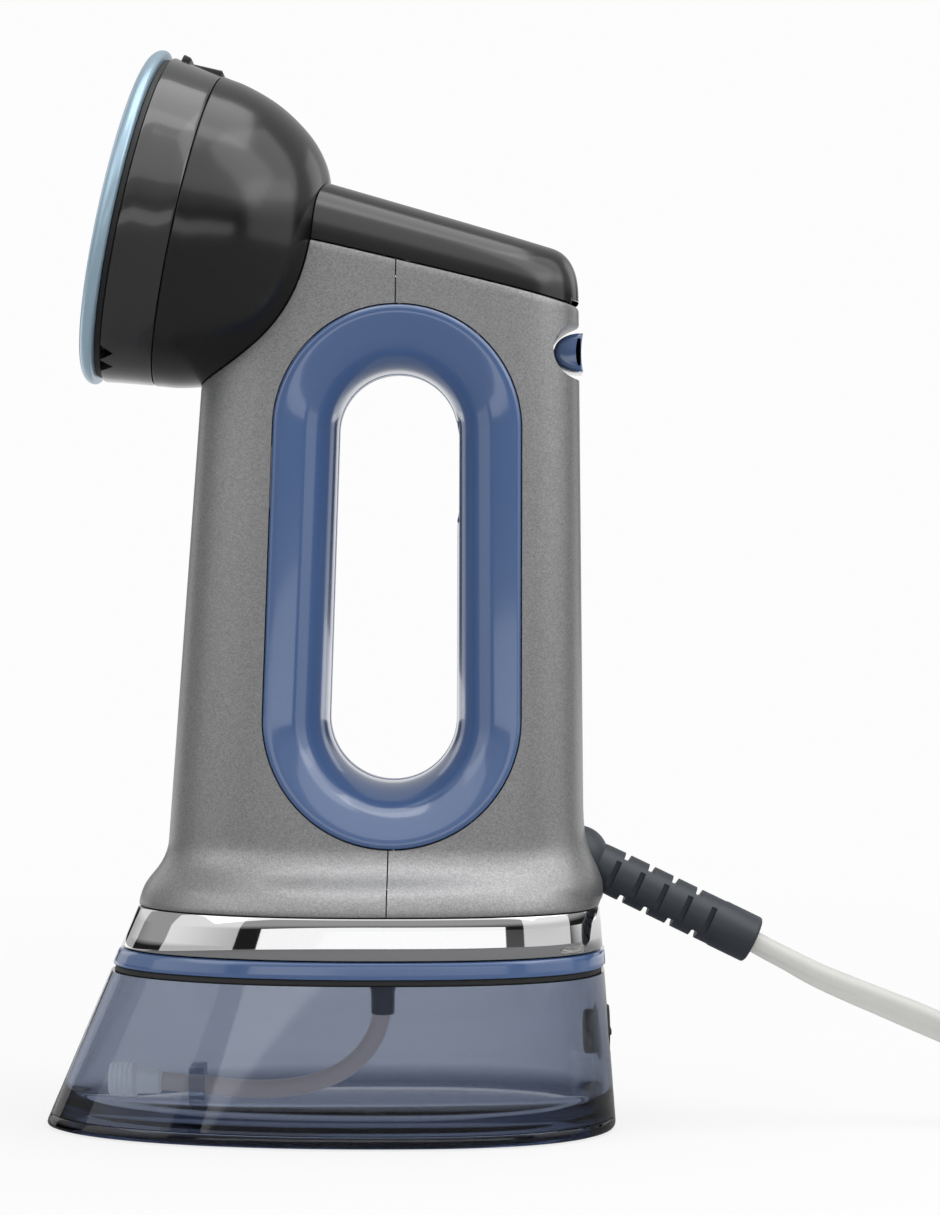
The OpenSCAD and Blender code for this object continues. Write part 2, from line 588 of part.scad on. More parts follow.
// ================= tank =================
lid_t = 2.2;
gasket_h = 1.6;
shell_top = tank_h - gasket_h;
latch_x = rear_x(band_z0) - 9;
latch_w = 15;
latch_travel = 2;
fill_z = 24;          // height of the fill plug
module tank_collar() color("#5f78a8") difference() {
    base_ring(tank_h, band_z0 - 0.3, -0.3, 2.6);
    latch_opening();
}
module tank_lid() color("#39465a") difference() {
    skin([base_plan(tank_h, 2.6), base_plan(tank_h + lid_t, 2.6)]);
    translate([port_x, 0, tank_h - 1]) cylinder(h = 6, r = port_r + 2.4 + fit);
    latch_opening();
}
module tank_gasket() color("#101113") base_ring(shell_top + eps, tank_h - eps, 0.9, 3);
module tank_solid() skin([base_plan(foot_plate, 0), base_plan(shell_top, 0)]);
module tank_space() skin([base_plan(foot_plate - 1, tank_wall), base_plan(shell_top + 1, tank_wall)]);
module tank_shell() color("#6b768866") difference() {
    tank_solid();
    tank_space();
    fill_bore(fill_r + run_gap);
}
module tank_foot() color("#23272e") difference() {
    skin([base_plan(0, foot_round), base_plan(foot_round * 0.3, foot_round * 0.3),
        base_plan(foot_round, 0), base_plan(foot_plate - fit / 2, 0)]);
    translate([0, 0, -eps]) skin([base_plan(0, 7), base_plan(1, 8)]);
}
module outlet_fitting() color("#1f2b3b") translate([port_x, 0, tank_h]) difference() {
    union() {
        translate([0, 0, -2.6]) cylinder(h = 2.6 - fit, r = 7.8);
        translate([0, 0, -10]) cylinder(h = 8, r = 3);
        translate([0, 0, -2.6]) cylinder(h = 2.6 + 2, r = port_r + 2.4);
    }
    translate([0, 0, -1.8]) cylinder(h = 8, r = port_r + 1.8);
    translate([0, 0, -10 - eps]) cylinder(h = 10, r = 1.5);
}
hose_r = 2.4;
hose_end_z = 11;
hose_rise = (tank_h - 10.4 - hose_end_z) / (31.6 - hose_end_z);
hose_points = [[13.6, 0, 31.6], [13, 0, 27], [11.4, 0, 22.5], [8.6, 0, 18.3], [4.6, 0, 14.6],
    [-0.6, 0, 11.8], [-7, 0, 9.8], [-15, 0, 8.9], [-24, 0, 9], [-32, 0, 9.8], [-40, 0, 10.6],
    [-44, 0, 11]];
hose_route = [for (p = hose_points)
    [p[0], p[1], hose_end_z + (p[2] - hose_end_z) * (p[2] > hose_end_z ? hose_rise : 1)]];
module pickup_hose() color("#a99f98") tube(hose_route, hose_r, hose_r, 10);
module hose_filter() color("#e4e6ea") translate([-44.2, 0, 11]) rotate([0, -90, 0]) {
    cylinder(h = 6.6, r = 3.4);
    translate([0, 0, 6.6 - eps]) cylinder(h = 6.4, r = 5);
}
module hose_clip() color("#8b96a8") translate([-34.6, 0, foot_plate + fit]) difference() {
    translate([-2, -5, 0]) cube([4, 10, 11.5]);
    translate([0, 0, 6.2]) rotate([0, 90, 0]) cylinder(h = 10, r = hose_r + 0.35, center = true);
    translate([-3, -1.8, 6]) cube([6, 3.6, 8]);
}

// ---- latch at the back of the collar ----
module latch_opening() translate([latch_x - 4, -latch_w / 2 - run_gap, tank_h - eps])
    cube([30, latch_w + 2 * run_gap, collar_h]);
module latch_pocket() translate([latch_x - 0.2 - latch_travel, -5.2, band_z0 - 1])
    cube([4.2 + latch_travel, 10.4, 5]);
module tank_latch() color("#5f78a8") {
    intersection() {
        translate([latch_x + 4, -latch_w / 2, tank_h + run_gap]) cube([20, latch_w, collar_h - 1.1]);
        difference() {
            skin([base_plan(tank_h, -0.5), base_plan(band_z0, -0.5)]);
            skin([base_plan(tank_h - 1, 3), base_plan(band_z0 + 1, 3)]);
        }
    }
    translate([latch_x + 0.4, -3.4, tank_h + run_gap]) cube([6.6, 6.8, 3]);
    translate([latch_x + 0.4, -3.4, tank_h + run_gap + 3 - eps]) cube([1.8, 6.8, 2.6]);
}
module latch_spring() color("#c9cacb") translate([latch_x - 2.2 - 1.6, 0, tank_h + 2])
    rotate([0, 90, 0]) spring_sleeve(1.6, 1.4, 0.4);

// ---- rubber plug in the fill hole of the tank's back wall ----
module fill_bore(r) translate([rear_x(fill_z) - 12, 0, fill_z]) rotate([0, 90, 0])
    cylinder(h = 20, r = r);
module fill_plug() color("#2c3038") {
    intersection() {
        fill_bore(fill_r);
        difference() {
            tank_solid();
            tank_space();
        }
    }
    translate([rear_x(fill_z) - tank_wall - 4, 0, fill_z]) rotate([0, 90, 0])
        cylinder(h = 5, r = fill_r - 1.2);
}

// ================= cord =================
module along_boot(s) translate([ball_x, 0, ball_z]) rotate([0, 90 + lead_pitch, 0])
    translate([0, 0, s]) children();
slot_pitch = 6.9;
module cord_boot() color("#333b45") {
    difference() {
        union() {
            translate([ball_x, 0, ball_z]) sphere(ball_r);
            along_boot(boot_start) cylinder(h = boot_end - boot_start - 10, r = boot_r - 0.2);
            along_boot(boot_end - 10.5) cylinder(h = 10.5, r = boot_r);
        }
        for (k = [0 : 3], side = [-1, 1])
            along_boot(ball_r + 4 + slot_pitch * k + (side > 0 ? 3 : 0))
                translate([side * (boot_r + 1), 0, 0]) cube([6, 14, 1.7], center = true);
        translate([0, 0, 0]) along_boot(-ball_r) cylinder(h = 2 * ball_r, r = 2.2);
    }
}
module cord_lead() color("#c8c9c3") tube(lead_route, cord_w / 2, cord_t / 2, 10);
module cord_coil() color("#c8c9c3") translate([coil_x, 0, 0]) rotate_extrude()
    translate([coil_r, coil_h / 2]) offset(r = 4) square([coil_w - 8, coil_h - 8], center = true);
module coil_tie() color("#1c1d20") translate([coil_x, -coil_r, coil_h / 2]) difference() {
    cube([9, coil_w + 3.4, coil_h + 0], center = true);
    cube([12, coil_w + 0.6, coil_h - 2.6], center = true);
}
module cord_tail() color("#c8c9c3") tube(tail_route, cord_w / 2, cord_t / 2, 10);
module on_plug() translate([plug_x, plug_y, plug_z]) rotate([0, 0, plug_turn]) children();
module plug_body() color("#c4c5bf") on_plug() difference() {
    rotate([0, 90, 0]) hull() {
        cylinder(h = 1, r = 4.6, $fn = 32);
        translate([0, 0, 12]) cylinder(h = 1, r = 6, $fn = 32);
        for (y = [-1, 1]) translate([0, y * 6, plug_len - 14]) cylinder(h = 14, r = plug_r - 0.1, $fn = 32);
    }
    for (y = [-1, 1]) translate([plug_len - 8, y * blade_gap / 2, 0])
        cube([20, blade_t + 0.2, blade_w + 0.2], center = true);
}
module plug_blades() color("#c9b06a") on_plug() for (y = [-1, 1])
    translate([plug_len - 6, y * blade_gap / 2 - blade_t / 2, -blade_w / 2])
        cube([blade_len + 6, blade_t, blade_w]);

soleplate();
soleplate_gasket();
front_ring();
attachment_catch();
head_bowl();
heater_block();
steam_chamber_cover();
heating_element();
thermostat();
thermal_fuse();
heater_screws();
top_cover();
control_strip();
power_button();
indicator_lens();
front_shell();
rear_shell();
shell_screws();
left_bezel();
right_bezel();
handle_liner();
trigger();
trigger_spring();
trigger_switch();
thumb_lever();
thumb_switch();
circuit_board();
pump();
pump_mounts();
suction_tube();
water_tube();
base_frame();
chrome_band();
water_port();
port_seal();
cord_clamp();
clamp_screws();
tank_collar();
tank_lid();
tank_gasket();
tank_shell();
tank_foot();
outlet_fitting();
pickup_hose();
hose_filter();
hose_clip();
tank_latch();
latch_spring();
fill_plug();
cord_boot();
cord_lead();
cord_coil();
coil_tie();
cord_tail();
plug_body();
plug_blades();
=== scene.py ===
# %% [markdown]
# # A hand-held garment steamer
# A steam head on an upright silver body, a long finger hole with a blue rim, and a smoked water
# tank that is also the foot. Each step says what a piece is, how it could be made in Blender, and
# why it is made this way here. Sizes are written in millimetres, as a maker reads them, and turned
# into metres in one place.

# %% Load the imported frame
import json
import math

import bmesh
import bpy
from mathutils import Matrix, Vector


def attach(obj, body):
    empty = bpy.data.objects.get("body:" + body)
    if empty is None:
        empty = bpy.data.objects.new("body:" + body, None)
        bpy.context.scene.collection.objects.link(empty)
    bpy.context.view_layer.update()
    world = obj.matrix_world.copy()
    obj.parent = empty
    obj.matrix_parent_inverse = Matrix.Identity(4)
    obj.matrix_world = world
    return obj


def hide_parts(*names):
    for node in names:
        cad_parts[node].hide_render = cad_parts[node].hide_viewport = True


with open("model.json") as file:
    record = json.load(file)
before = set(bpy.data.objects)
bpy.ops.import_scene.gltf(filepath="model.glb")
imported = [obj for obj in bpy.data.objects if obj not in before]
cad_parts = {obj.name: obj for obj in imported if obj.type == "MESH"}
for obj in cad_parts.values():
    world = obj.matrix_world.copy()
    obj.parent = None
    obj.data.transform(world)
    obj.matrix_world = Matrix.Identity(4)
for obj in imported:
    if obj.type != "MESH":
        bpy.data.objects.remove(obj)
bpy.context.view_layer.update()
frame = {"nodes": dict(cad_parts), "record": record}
nodes = frame["nodes"]
scene = bpy.context.scene
MM = 0.001

# %% [markdown]
# ## Camera
# The steamer is looked at square from its side, from 0.8 m, a little above the middle of its
# height. A long lens keeps the upright body upright; a shorter one would swell the tank.

# %% The camera
camera = bpy.data.objects.new("camera", bpy.data.cameras.new("camera"))
scene.collection.objects.link(camera)
camera.location = (0.0364, -0.800, 0.1348)
camera.rotation_euler = (math.radians(90), 0, 0)
camera.data.lens = 90.5
scene.camera = camera
print("camera at", tuple(round(c, 3) for c in camera.location))

# %% [markdown]
# ## Shared helpers
# Nearly every piece here is a skin over rings of points: outlines stacked up the body, arches
# along the cover, circles round the head's axis. Curves with a bevel could do some of it, but
# rings let each piece repeat the exact outline of its neighbour, so the gaps stay even.


# %% Turn points into pieces
def add_piece(name, mesh):
    piece = bpy.data.objects.new(name, mesh)
    scene.collection.objects.link(piece)
    return piece


def make_mesh(name, points, faces):
    """A piece of points in millimetres, with every face turned outward."""
    mesh = bpy.data.meshes.new(name)
    mesh.from_pydata([[c * MM for c in p] for p in points], [], faces)
    tool = bmesh.new()
    tool.from_mesh(mesh)
    bmesh.ops.recalc_face_normals(tool, faces=tool.faces)
    if tool.calc_volume(signed=True) < 0:
        bmesh.ops.reverse_faces(tool, faces=tool.faces)
    tool.to_mesh(mesh)
    tool.free()
    return add_piece(name, mesh)


def skin(name, rings, loop=False, caps=True):
    """A closed skin over rings of equal point count; loop joins the last ring to the first."""
    count, n = len(rings), len(rings[0])
    points = [p for ring in rings for p in ring]
    faces = []
    for j in range(count if loop else count - 1):
        low, high = j * n, (j + 1) % count * n
        faces += [(low + i, low + (i + 1) % n, high + (i + 1) % n, high + i) for i in range(n)]
    if caps and not loop:
        faces += [list(range(n)), [(count - 1) * n + i for i in range(n)]]
    return make_mesh(name, points, faces)


def spin(name, profile, place=Matrix(), segments=128, closed=False):
    """Turns a profile of (radius, height) round the Z axis of place; closed makes a ring."""
    points, rows, faces = [], [], []
    for radius, height in profile:
        row = [len(points)] if radius < 1e-6 else list(range(len(points), len(points) + segments))
        for i in range(len(row)):
            turn = 2 * math.pi * i / segments
            across = (radius * math.cos(turn), radius * math.sin(turn))
            points.append(place @ Vector((*across, height)))
        rows.append(row)
    for a, b in zip(rows, rows[1:] + (rows[:1] if closed else [])):
        for i in range(segments):
            k = (i + 1) % segments
            corners = [a[i % len(a)], a[k % len(a)], b[k % len(b)], b[i % len(b)]]
            face = list(dict.fromkeys(corners))
            if len(face) > 2:
                faces.append(face)
    return make_mesh(name, points, faces)


def rod(name, radius, low, high, place, segments=64):
    """A closed cylinder along the Z axis of place."""
    return spin(name, [(0, low), (radius, low), (radius, high), (0, high)], place, segments)


def block(name, size, place):
    """A box of that size round the origin of place."""
    x, y, z = (s / 2 for s in size)
    corners = [(a, b, c) for c in (-z, z) for a, b in ((-x, -y), (x, -y), (x, y), (-x, y))]
    sides = [(0, 1, 2, 3), (4, 5, 6, 7), (0, 1, 5, 4), (1, 2, 6, 5), (2, 3, 7, 6), (3, 0, 4, 7)]
    return make_mesh(name, [place @ Vector(p) for p in corners], sides)


def turned(degrees, axis):
    return Matrix.Rotation(math.radians(degrees), 4, axis)


at = Matrix.Translation
along_x, along_y = turned(90, "Y"), turned(90, "X")
print("helpers: make_mesh, skin, spin, rod, block, turned, at")


# %% Smooth curves through a few points
def through(points, steps=6):
    """A rounded line through the points, each a tuple of numbers (Catmull-Rom)."""
    points = [Vector(p) for p in points]
    ends = [2 * points[0] - points[1], *points, 2 * points[-1] - points[-2]]
    line = []
    for a, b, c, d in zip(ends, ends[1:], ends[2:], ends[3:]):
        for s in range(steps):
            t = s / steps
            line.append(0.5 * (2 * b + (c - a) * t + (2 * a - 5 * b + 4 * c - d) * t * t
                               + (3 * b - 3 * c + d - a) * t ** 3))
    return [*line, points[-1]]


def value_at(pairs, x):
    """Reads the line through (x, y) pairs at x; the pairs are in order of x."""
    for (x0, y0), (x1, y1) in zip(pairs, pairs[1:]):
        if x <= x1:
            k = max(0, min(1, (x - x0) / (x1 - x0)))
            return y0 + (y1 - y0) * k
    return pairs[-1][1]


def ease(k):
    """Goes from 0 to 1 as k does, slowly at both ends."""
    k = max(0.0, min(1.0, k))
    return k * k * (3 - 2 * k)


def bulge(value, power):
    """A sine or cosine to a power, sign kept: less than 1 squares a circle off."""
    return math.copysign(abs(value) ** power, value)


def heading_at(line, i):
    """The way the line runs at its point i."""
    return (line[min(i + 1, len(line) - 1)] - line[max(i - 1, 0)]).normalized()


print("curve helpers: through, value_at, ease, bulge, heading_at")


# %% Cut, round and shade
def bake(piece):
    """Keeps what the modifiers make as the piece's own mesh."""
    ready = piece.evaluated_get(bpy.context.evaluated_depsgraph_get())
    mesh = bpy.data.meshes.new_from_object(ready)
    piece.modifiers.clear()
    piece.data = mesh


def volume(mesh):
    tool = bmesh.new()
    tool.from_mesh(mesh)
    cubic_mm = tool.calc_volume(signed=True) / MM ** 3
    tool.free()
    return cubic_mm


def cut(piece, *cutters):
    """Takes the cutters out one after another. Where the exact solver leaves a volume that can't
    be right, as it does at some notches of the ring, the fast solver cuts instead."""
    least_left, most_left = 0.3, 1.001
    for cutter in cutters:
        before, whole = volume(piece.data), piece.data
        for solver in ("EXACT", "FAST"):
            tool = piece.modifiers.new("cut", "BOOLEAN")
            tool.object, tool.operation, tool.solver = cutter, "DIFFERENCE", solver
            bake(piece)
            after = volume(piece.data)
            if least_left * before < after <= before * most_left:
                break
            print(f"{piece.name} minus {cutter.name}, {solver} solver rejected:",
                  f"{before:.0f} to {after:.0f} mm3")
            piece.data = whole
        bpy.data.objects.remove(cutter)
    return piece


def round_edges(piece, width, angle=40, segments=3):
    """Bevels the edges that turn by more than angle."""
    tool = piece.modifiers.new("round", "BEVEL")
    tool.width = width * MM
    tool.segments = segments
    tool.limit_method = "ANGLE"
    tool.angle_limit = math.radians(angle)
    bake(piece)
    return piece


def join(name, *parts):
    """Makes one piece of several meshes."""
    tool = bmesh.new()
    for part in parts:
        tool.from_mesh(part.data)
        bpy.data.objects.remove(part)
    mesh = bpy.data.meshes.new(name)
    tool.to_mesh(mesh)
    tool.free()
    return add_piece(name, mesh)


def shade(piece, angle=32):
    piece.data.shade_smooth()
    piece.data.set_sharp_from_angle(angle=math.radians(angle))
    return piece


finished = []


def fit_in(piece, body, finish, *stands_for, angle=32):
    """Shades the piece, sets it on its body and lets it stand for its CAD nodes."""
    shade(piece, angle)
    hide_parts(*stands_for)
    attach(piece, body)
    finished.append((piece, finish))
    print(f"{piece.name}: {len(piece.data.vertices)} points, {finish}")
    return piece


# %% [markdown]
# ## The cord
# A flat cord of two cores side by side, 8 mm wide and about 2.4 m long. It leaves the bend
# protector, sinks to the table and is stored as a neat coil with its plug on top. A curve with a
# round bevel would lose the groove between the cores, so a two-lobed section is swept along the
# route, and turned a little as it goes, as a real flat cord twists.

# %% The cord's route
lead_points = [(109.4, 0, 48.2), (111, 0, 47.2), (115, 0, 45), (120, 0, 42.4), (127, 0, 38.7),
               (135, 0, 35.2), (143, 0, 31.9), (151, 0, 28.6), (159, 0, 25.2), (167, -1, 21.7),
               (174, -4, 18.4), (180, -9, 15.2), (185, -15, 12.3), (189, -22, 9.8), (193, -29, 7.8)]
coil_x = 240
# Where the coil's turns lie: (heading in degrees, radius, height)
coil_keys = [(211.7, 55.2, 7.8), (245, 52.3, 2.5), (605, 52.3, 2.5), (660, 44, 2.5), (965, 44, 2.5),
             (1020, 35.7, 2.5), (1325, 35.7, 2.5), (1380, 35.7, 7.3), (1685, 35.7, 7.3),
             (1740, 44, 7.3), (2045, 44, 7.3), (2100, 52.3, 7.3), (2310, 52.3, 7.3),
             (2350, 48, 12.2), (2765, 48, 12.2), (2820, 39.6, 12.2), (3125, 39.6, 12.2),
             (3200, 44, 16.6), (3242.5, 46.04, 16.8)]
tail_points = [(286, 8, 17.2), (285, 15, 18), (282.5, 22, 19.3), (279, 28.5, 21),
               (274.5, 34.5, 22.6), (269, 40, 23.6), (263, 44, 24.1), (257.5, 45.8, 24.1)]


def coil_point(turn):
    """The place in the coil after turning that many degrees."""
    for (t0, r0, z0), (t1, r1, z1) in zip(coil_keys, coil_keys[1:]):
        if turn <= t1:
            k = ease((turn - t0) / (t1 - t0))
            r, z = r0 + (r1 - r0) * k, z0 + (z1 - z0) * k
            a = math.radians(turn)
            return Vector((coil_x + r * math.cos(a), r * math.sin(a), z))


first, last, coil_steps = coil_keys[0][0], coil_keys[-1][0], 900
turns = [coil_point(first + (last - first) * i / coil_steps) for i in range(1, coil_steps + 1)]
route = through(lead_points, 5) + turns + through([turns[-1], *tail_points], 5)[1:]
cord_length = sum((b - a).length for a, b in zip(route, route[1:])) * MM
print(f"cord route: {len(route)} points, {cord_length:.3f} m")

# %% Sweep the two-core section
cord_w, cord_t = 8.0, 4.4
lobe = cord_t / 2
shift = cord_w / 2 - lobe


def cord_section(n=11, valley=128):
    """Points round two touching circles, each drawn as far as the valley between them."""
    half = [(shift + lobe * math.cos(a), lobe * math.sin(a))
            for a in (math.radians(-valley + 2 * valley * i / (n - 1)) for i in range(n))]
    return half + [(-x, -y) for x, y in half]


def cord_rings(line):
    """Sections along the line. The cord leaves on edge, turns upright, then lies flat."""
    rings, gone = [], 0.0
    for i, p in enumerate(line):
        heading = heading_at(line, i)
        gone += (p - line[max(i - 1, 0)]).length
        side = heading.cross(Vector((0, 0, 1))).normalized()
        up = side.cross(heading)
        twist = math.radians(24 + 42 * ease(gone / 55) - 66 * ease((gone - 70) / 50))
        wide = side * math.cos(twist) + up * math.sin(twist)
        thin = wide.cross(heading)
        rings.append([p + wide * x + thin * y for x, y in cord_section()])
    return rings


cord = skin("cord", cord_rings(route))
fit_in(cord, "housing", "cord_grey", "cord_lead", "cord_coil", "cord_tail", angle=70)

# %% [markdown]
# ## Outlines of base and body
# The tank and the chrome band share one egg-shaped plan that shrinks upward at a different slope
# in front, behind and beside. The upright body has its own squarer plan. Between them the sweep
# blends one into the other.

# %% The plans as formulas
foot_len, foot_wid, tank_h, collar_h, band_h = 149, 85, 42, 4.7, 10.8
front_rake, rear_rake, side_rake = (math.tan(math.radians(a)) for a in (23, 4.3, 2.4))
band_z0 = tank_h + collar_h
band_z1 = band_z0 + band_h
flare_h = 17.5
flare_z = band_z1 + flare_h
body_front, body_rear, body_wid_low, body_wid_top = 42.2, 66, 58, 48
body_rear_z, top_slope, body_lean = 212, math.tan(math.radians(13.3)), math.tan(math.radians(4.1))
body_mid_x, rear_lean, front_power, rear_power = 14, 0.009, 2.4, 3.4


def egg(turn, front, rear, width, middle, front_power, rear_power):
    """A point on a closed plan whose front and rear halves differ in length and squareness."""
    c, s = math.cos(turn), math.sin(turn)
    reach, power = (rear - middle, rear_power) if c > 0 else (middle - front, front_power)
    return Vector((middle + bulge(c, 2 / power) * reach, bulge(s, 2 / power) * width))


def base_point(turn, z, inset=0.0):
    front_inset = inset * 1.09
    return egg(turn, -foot_len / 2 + z * front_rake + front_inset,
               foot_len / 2 - z * rear_rake - inset, foot_wid / 2 - z * side_rake - inset,
               12, 2.05, 2.6)


def body_width(z):
    """Half the body's width, which shrinks evenly upward."""
    shrink = (body_wid_low - body_wid_top) / 2 / (body_rear_z - flare_z)
    return body_wid_low / 2 - (z - flare_z) * shrink


def body_ends(z):
    return -body_front + (z - flare_z) * body_lean, body_rear - (z - flare_z) * rear_lean


def body_point(turn, z, inset=0.0):
    front, rear = body_ends(z)
    return egg(turn, front + inset, rear - inset, body_width(z) - inset, body_mid_x,
               front_power, rear_power)


def body_y(x, z):
    """How far the body's side lies from its middle plane."""
    front, rear = body_ends(z)
    reach, power = body_mid_x - front, front_power
    if x > body_mid_x:
        reach, power = rear - body_mid_x, rear_power
    return body_width(z) * max(0, 1 - min(1, abs(x - body_mid_x) / reach) ** power) ** (1 / power)


def even_turns(n, outline, tries=3600):
    """Turns at which points on the outline are evenly spaced."""
    fine = [2 * math.pi * i / tries for i in range(tries + 1)]
    places = [outline(t) for t in fine]
    run = [0.0]
    for a, b in zip(places, places[1:]):
        run.append(run[-1] + (b - a).length)
    picked, k = [], 0
    for i in range(n):
        while run[k + 1] < run[-1] * i / n:
            k += 1
        picked.append(fine[k])
    return picked


base_turns = even_turns(200, lambda t: base_point(t, 25))
body_turns = even_turns(220, lambda t: body_point(t, 130))
print("plan points:", len(base_turns), len(body_turns))


# %% A ring of the base
def base_ring(z, inset=0.0):
    return [(p.x, p.y, z) for p in (base_point(t, z, inset) for t in base_turns)]


def hoop(name, z0, z1, proud, wall, soft):
    """A band that follows the base, with edges rounded by soft."""
    outer = [(z0, soft - proud), (z0 + soft * 0.3, soft * 0.3 - proud), (z0 + soft, -proud)]
    outer += [(z0 + (z1 - z0) * k, -proud) for k in (0.3, 0.5, 0.7)]
    outer += [(z1 - soft, -proud), (z1 - soft * 0.3, soft * 0.3 - proud), (z1, soft - proud)]
    inner = [(z1, wall - proud), (z0, wall - proud)]
    return skin(name, [base_ring(z, inset) for z, inset in outer + inner], loop=True)


print("base height", band_z1, "mm")

# %% [markdown]
# ## The water tank
# A clear smoked moulding with 2 mm walls on a thick foot plate, closed by a navy lid under a blue
# collar. Walls are modelled with both faces, because clear plastic gets its look from light that
# crosses every face. The wall thickens toward the floor in a soft fillet, which makes the dark
# zone there. It casts no shadow, so that lamps reach what is inside.

# %% Tank wall and foot
tank_wall, foot_plate, fill_z, fill_r = 2, 3.5, 24, 7
shell_top = tank_h - 1.6
rear_at_fill = foot_len / 2 - fill_z * rear_rake
wall_steps, fillet_w, fillet_h = 24, 3.4, 6.5
wall_z = [foot_plate + (shell_top - foot_plate) * (k / wall_steps) ** 1.4
          for k in range(wall_steps + 1)]
outer_rows = [(z, 0) for z in wall_z]
inner_rows = [(z, tank_wall + fillet_w * (1 - ease((z - foot_plate) / fillet_h)))
              for z in reversed(wall_z)]
tank_wall_piece = skin("tank_wall", [base_ring(z, i) for z, i in outer_rows + inner_rows],
                       loop=True)
cut(tank_wall_piece, rod("bore", fill_r + 0.4, -12, 12, at((rear_at_fill, 0, fill_z)) @ along_x))
fit_in(tank_wall_piece, "tank", "tank_smoke", "tank_shell")
tank_wall_piece.visible_shadow = False
foot_rows = [(1.6, 9), (1.6, 8), (0, 7), (0, 2.4), (0.1, 1.4), (0.42, 0.42), (0.8, 0.12), (1.4, 0),
             (foot_plate - 0.5, 0), (foot_plate - 0.25, 0.1), (foot_plate - 0.06, 0.5)]
foot = skin("tank_foot_plate", [base_ring(z, i) for z, i in foot_rows])
fit_in(foot, "tank", "foot_smoke", "tank_foot")

# %% [markdown]
# The collar and the black gasket below it are plain hoops that follow the same plan, a little
# proud of the wall. Their edges are rounded by extra rings rather than by a bevel tool, so they
# stay even all the way round.

# %% Collar, gasket and chrome band
gasket = hoop("tank_seal", shell_top + 0.05, tank_h - 0.05, -0.7, 3, 0.3)
fit_in(gasket, "tank", "seal_black", "tank_gasket")
collar = hoop("blue_collar", tank_h, band_z0 - 0.3, 0.35, 2.6, 0.7)
latch_x = foot_len / 2 - band_z0 * rear_rake - 9
cut(collar, block("latch_gap", (30, 15.8, 8), at((latch_x + 11, 0, tank_h + 2))))
fit_in(collar, "tank", "blue_gloss", "tank_collar")
band = hoop("bright_band", band_z0, band_z1 - 0.2, 0, 1.4, 0.45)
fit_in(band, "housing", "band_chrome", "chrome_band")

# %% [markdown]
# ## Inside the tank
# Seen through the smoked wall: a navy fitting under the lid, a soft hose that swings forward along
# the floor, and a white filter at its end, held by a clip. Dark plastic swallows most of the light
# that should reach them, so the finishes of hose and filter glow very faintly.

# %% Outlet fitting, hose, filter and clip
port_x = 13.6
fitting_rows = [(2.5, -13.6), (2.7, -13.6), (3.05, -13.2), (3.1, -8), (3.5, -6.2), (5.4, -5.4),
                (7.4, -5.1), (7.8, -4.7), (7.8, -0.8), (7.4, -0.3), (5.6, -0.2), (5.6, 2), (5, 2),
                (5, -1.8), (1.5, -1.8), (1.5, -9.5), (2.5, -10)]
fitting = spin("outlet_spigot", fitting_rows, at((port_x, 0, tank_h)), 64, closed=True)
fit_in(fitting, "tank", "fitting_navy", "outlet_fitting")


def pipe(name, line, radius, n=20):
    """A round pipe along a line in the middle plane."""
    rings = []
    for i, p in enumerate(line):
        heading = heading_at(line, i)
        side = Vector((0, 1, 0))
        up = heading.cross(side).normalized()
        rings.append([p + (side * math.cos(a) + up * math.sin(a)) * radius
                      for a in (2 * math.pi * k / n for k in range(n))])
    return skin(name, rings)


hose_points = [(13.6, 0, 34), (13.6, 0, 31.6), (13, 0, 27), (11.4, 0, 22.5), (8.6, 0, 18.3),
               (4.6, 0, 14.6), (-0.6, 0, 11.8), (-7, 0, 9.8), (-15, 0, 8.9), (-24, 0, 9),
               (-32, 0, 9.8), (-40, 0, 10.6), (-44, 0, 11)]
hose = pipe("soft_hose", through(hose_points, 6), 2.4)
fit_in(hose, "tank", "tube_silicone", "pickup_hose")
to_front = at((-44.2, 0, 11)) @ turned(-90, "Y")
filter_rows = [(0, 0), (2.9, 0), (3.4, 0.5), (3.4, 6.2), (4.6, 6.6), (5, 7.2)]
for groove_z in (7.6 + k * 1.3 for k in range(4)):
    filter_rows += [(5, groove_z), (4.6, groove_z + 0.3), (4.6, groove_z + 0.7), (5, groove_z + 1)]
filter_rows += [(5, 12.8), (4.4, 13.4), (0, 13.6)]
filter_piece = spin("inlet_filter", filter_rows, to_front, 48)
fit_in(filter_piece, "tank", "filter_white", "hose_filter")
clip_x = -34.6
clip = block("hose_holder", (4, 10, 11.5), at((clip_x, 0, foot_plate + 5.95)))
groove = rod("groove", 2.75, -8, 8, at((clip_x, 0, foot_plate + 6.4)) @ along_x, 32)
mouth = block("mouth", (8, 3.6, 10), at((clip_x, 0, foot_plate + 13)))
cut(clip, groove, mouth)
fit_in(round_edges(clip, 0.35), "tank", "clip_smoke", "hose_clip")

# %% [markdown]
# The fill plug at the back is soft rubber: a flanged disc with a small pull tab.

# %% Fill plug
plug_place = at((rear_at_fill - 6, 0, fill_z)) @ along_x
stopper_rows = [(0, 0), (5.4, 0), (5.8, 0.5), (5.8, 3.9), (6.9, 4.2), (7, 4.6), (7, 5.6),
                (6.6, 6.1), (5.2, 6.2), (4.9, 5.7), (0, 5.6)]
stopper = spin("rubber_stopper", stopper_rows, plug_place, 64)
tab = round_edges(block("tab", (1.6, 6, 1.8), at((rear_at_fill - 0.1, 0, fill_z))), 0.5)
stopper = join("rubber_stopper", stopper, tab)
fit_in(stopper, "fill_plug", "seal_black", "fill_plug")

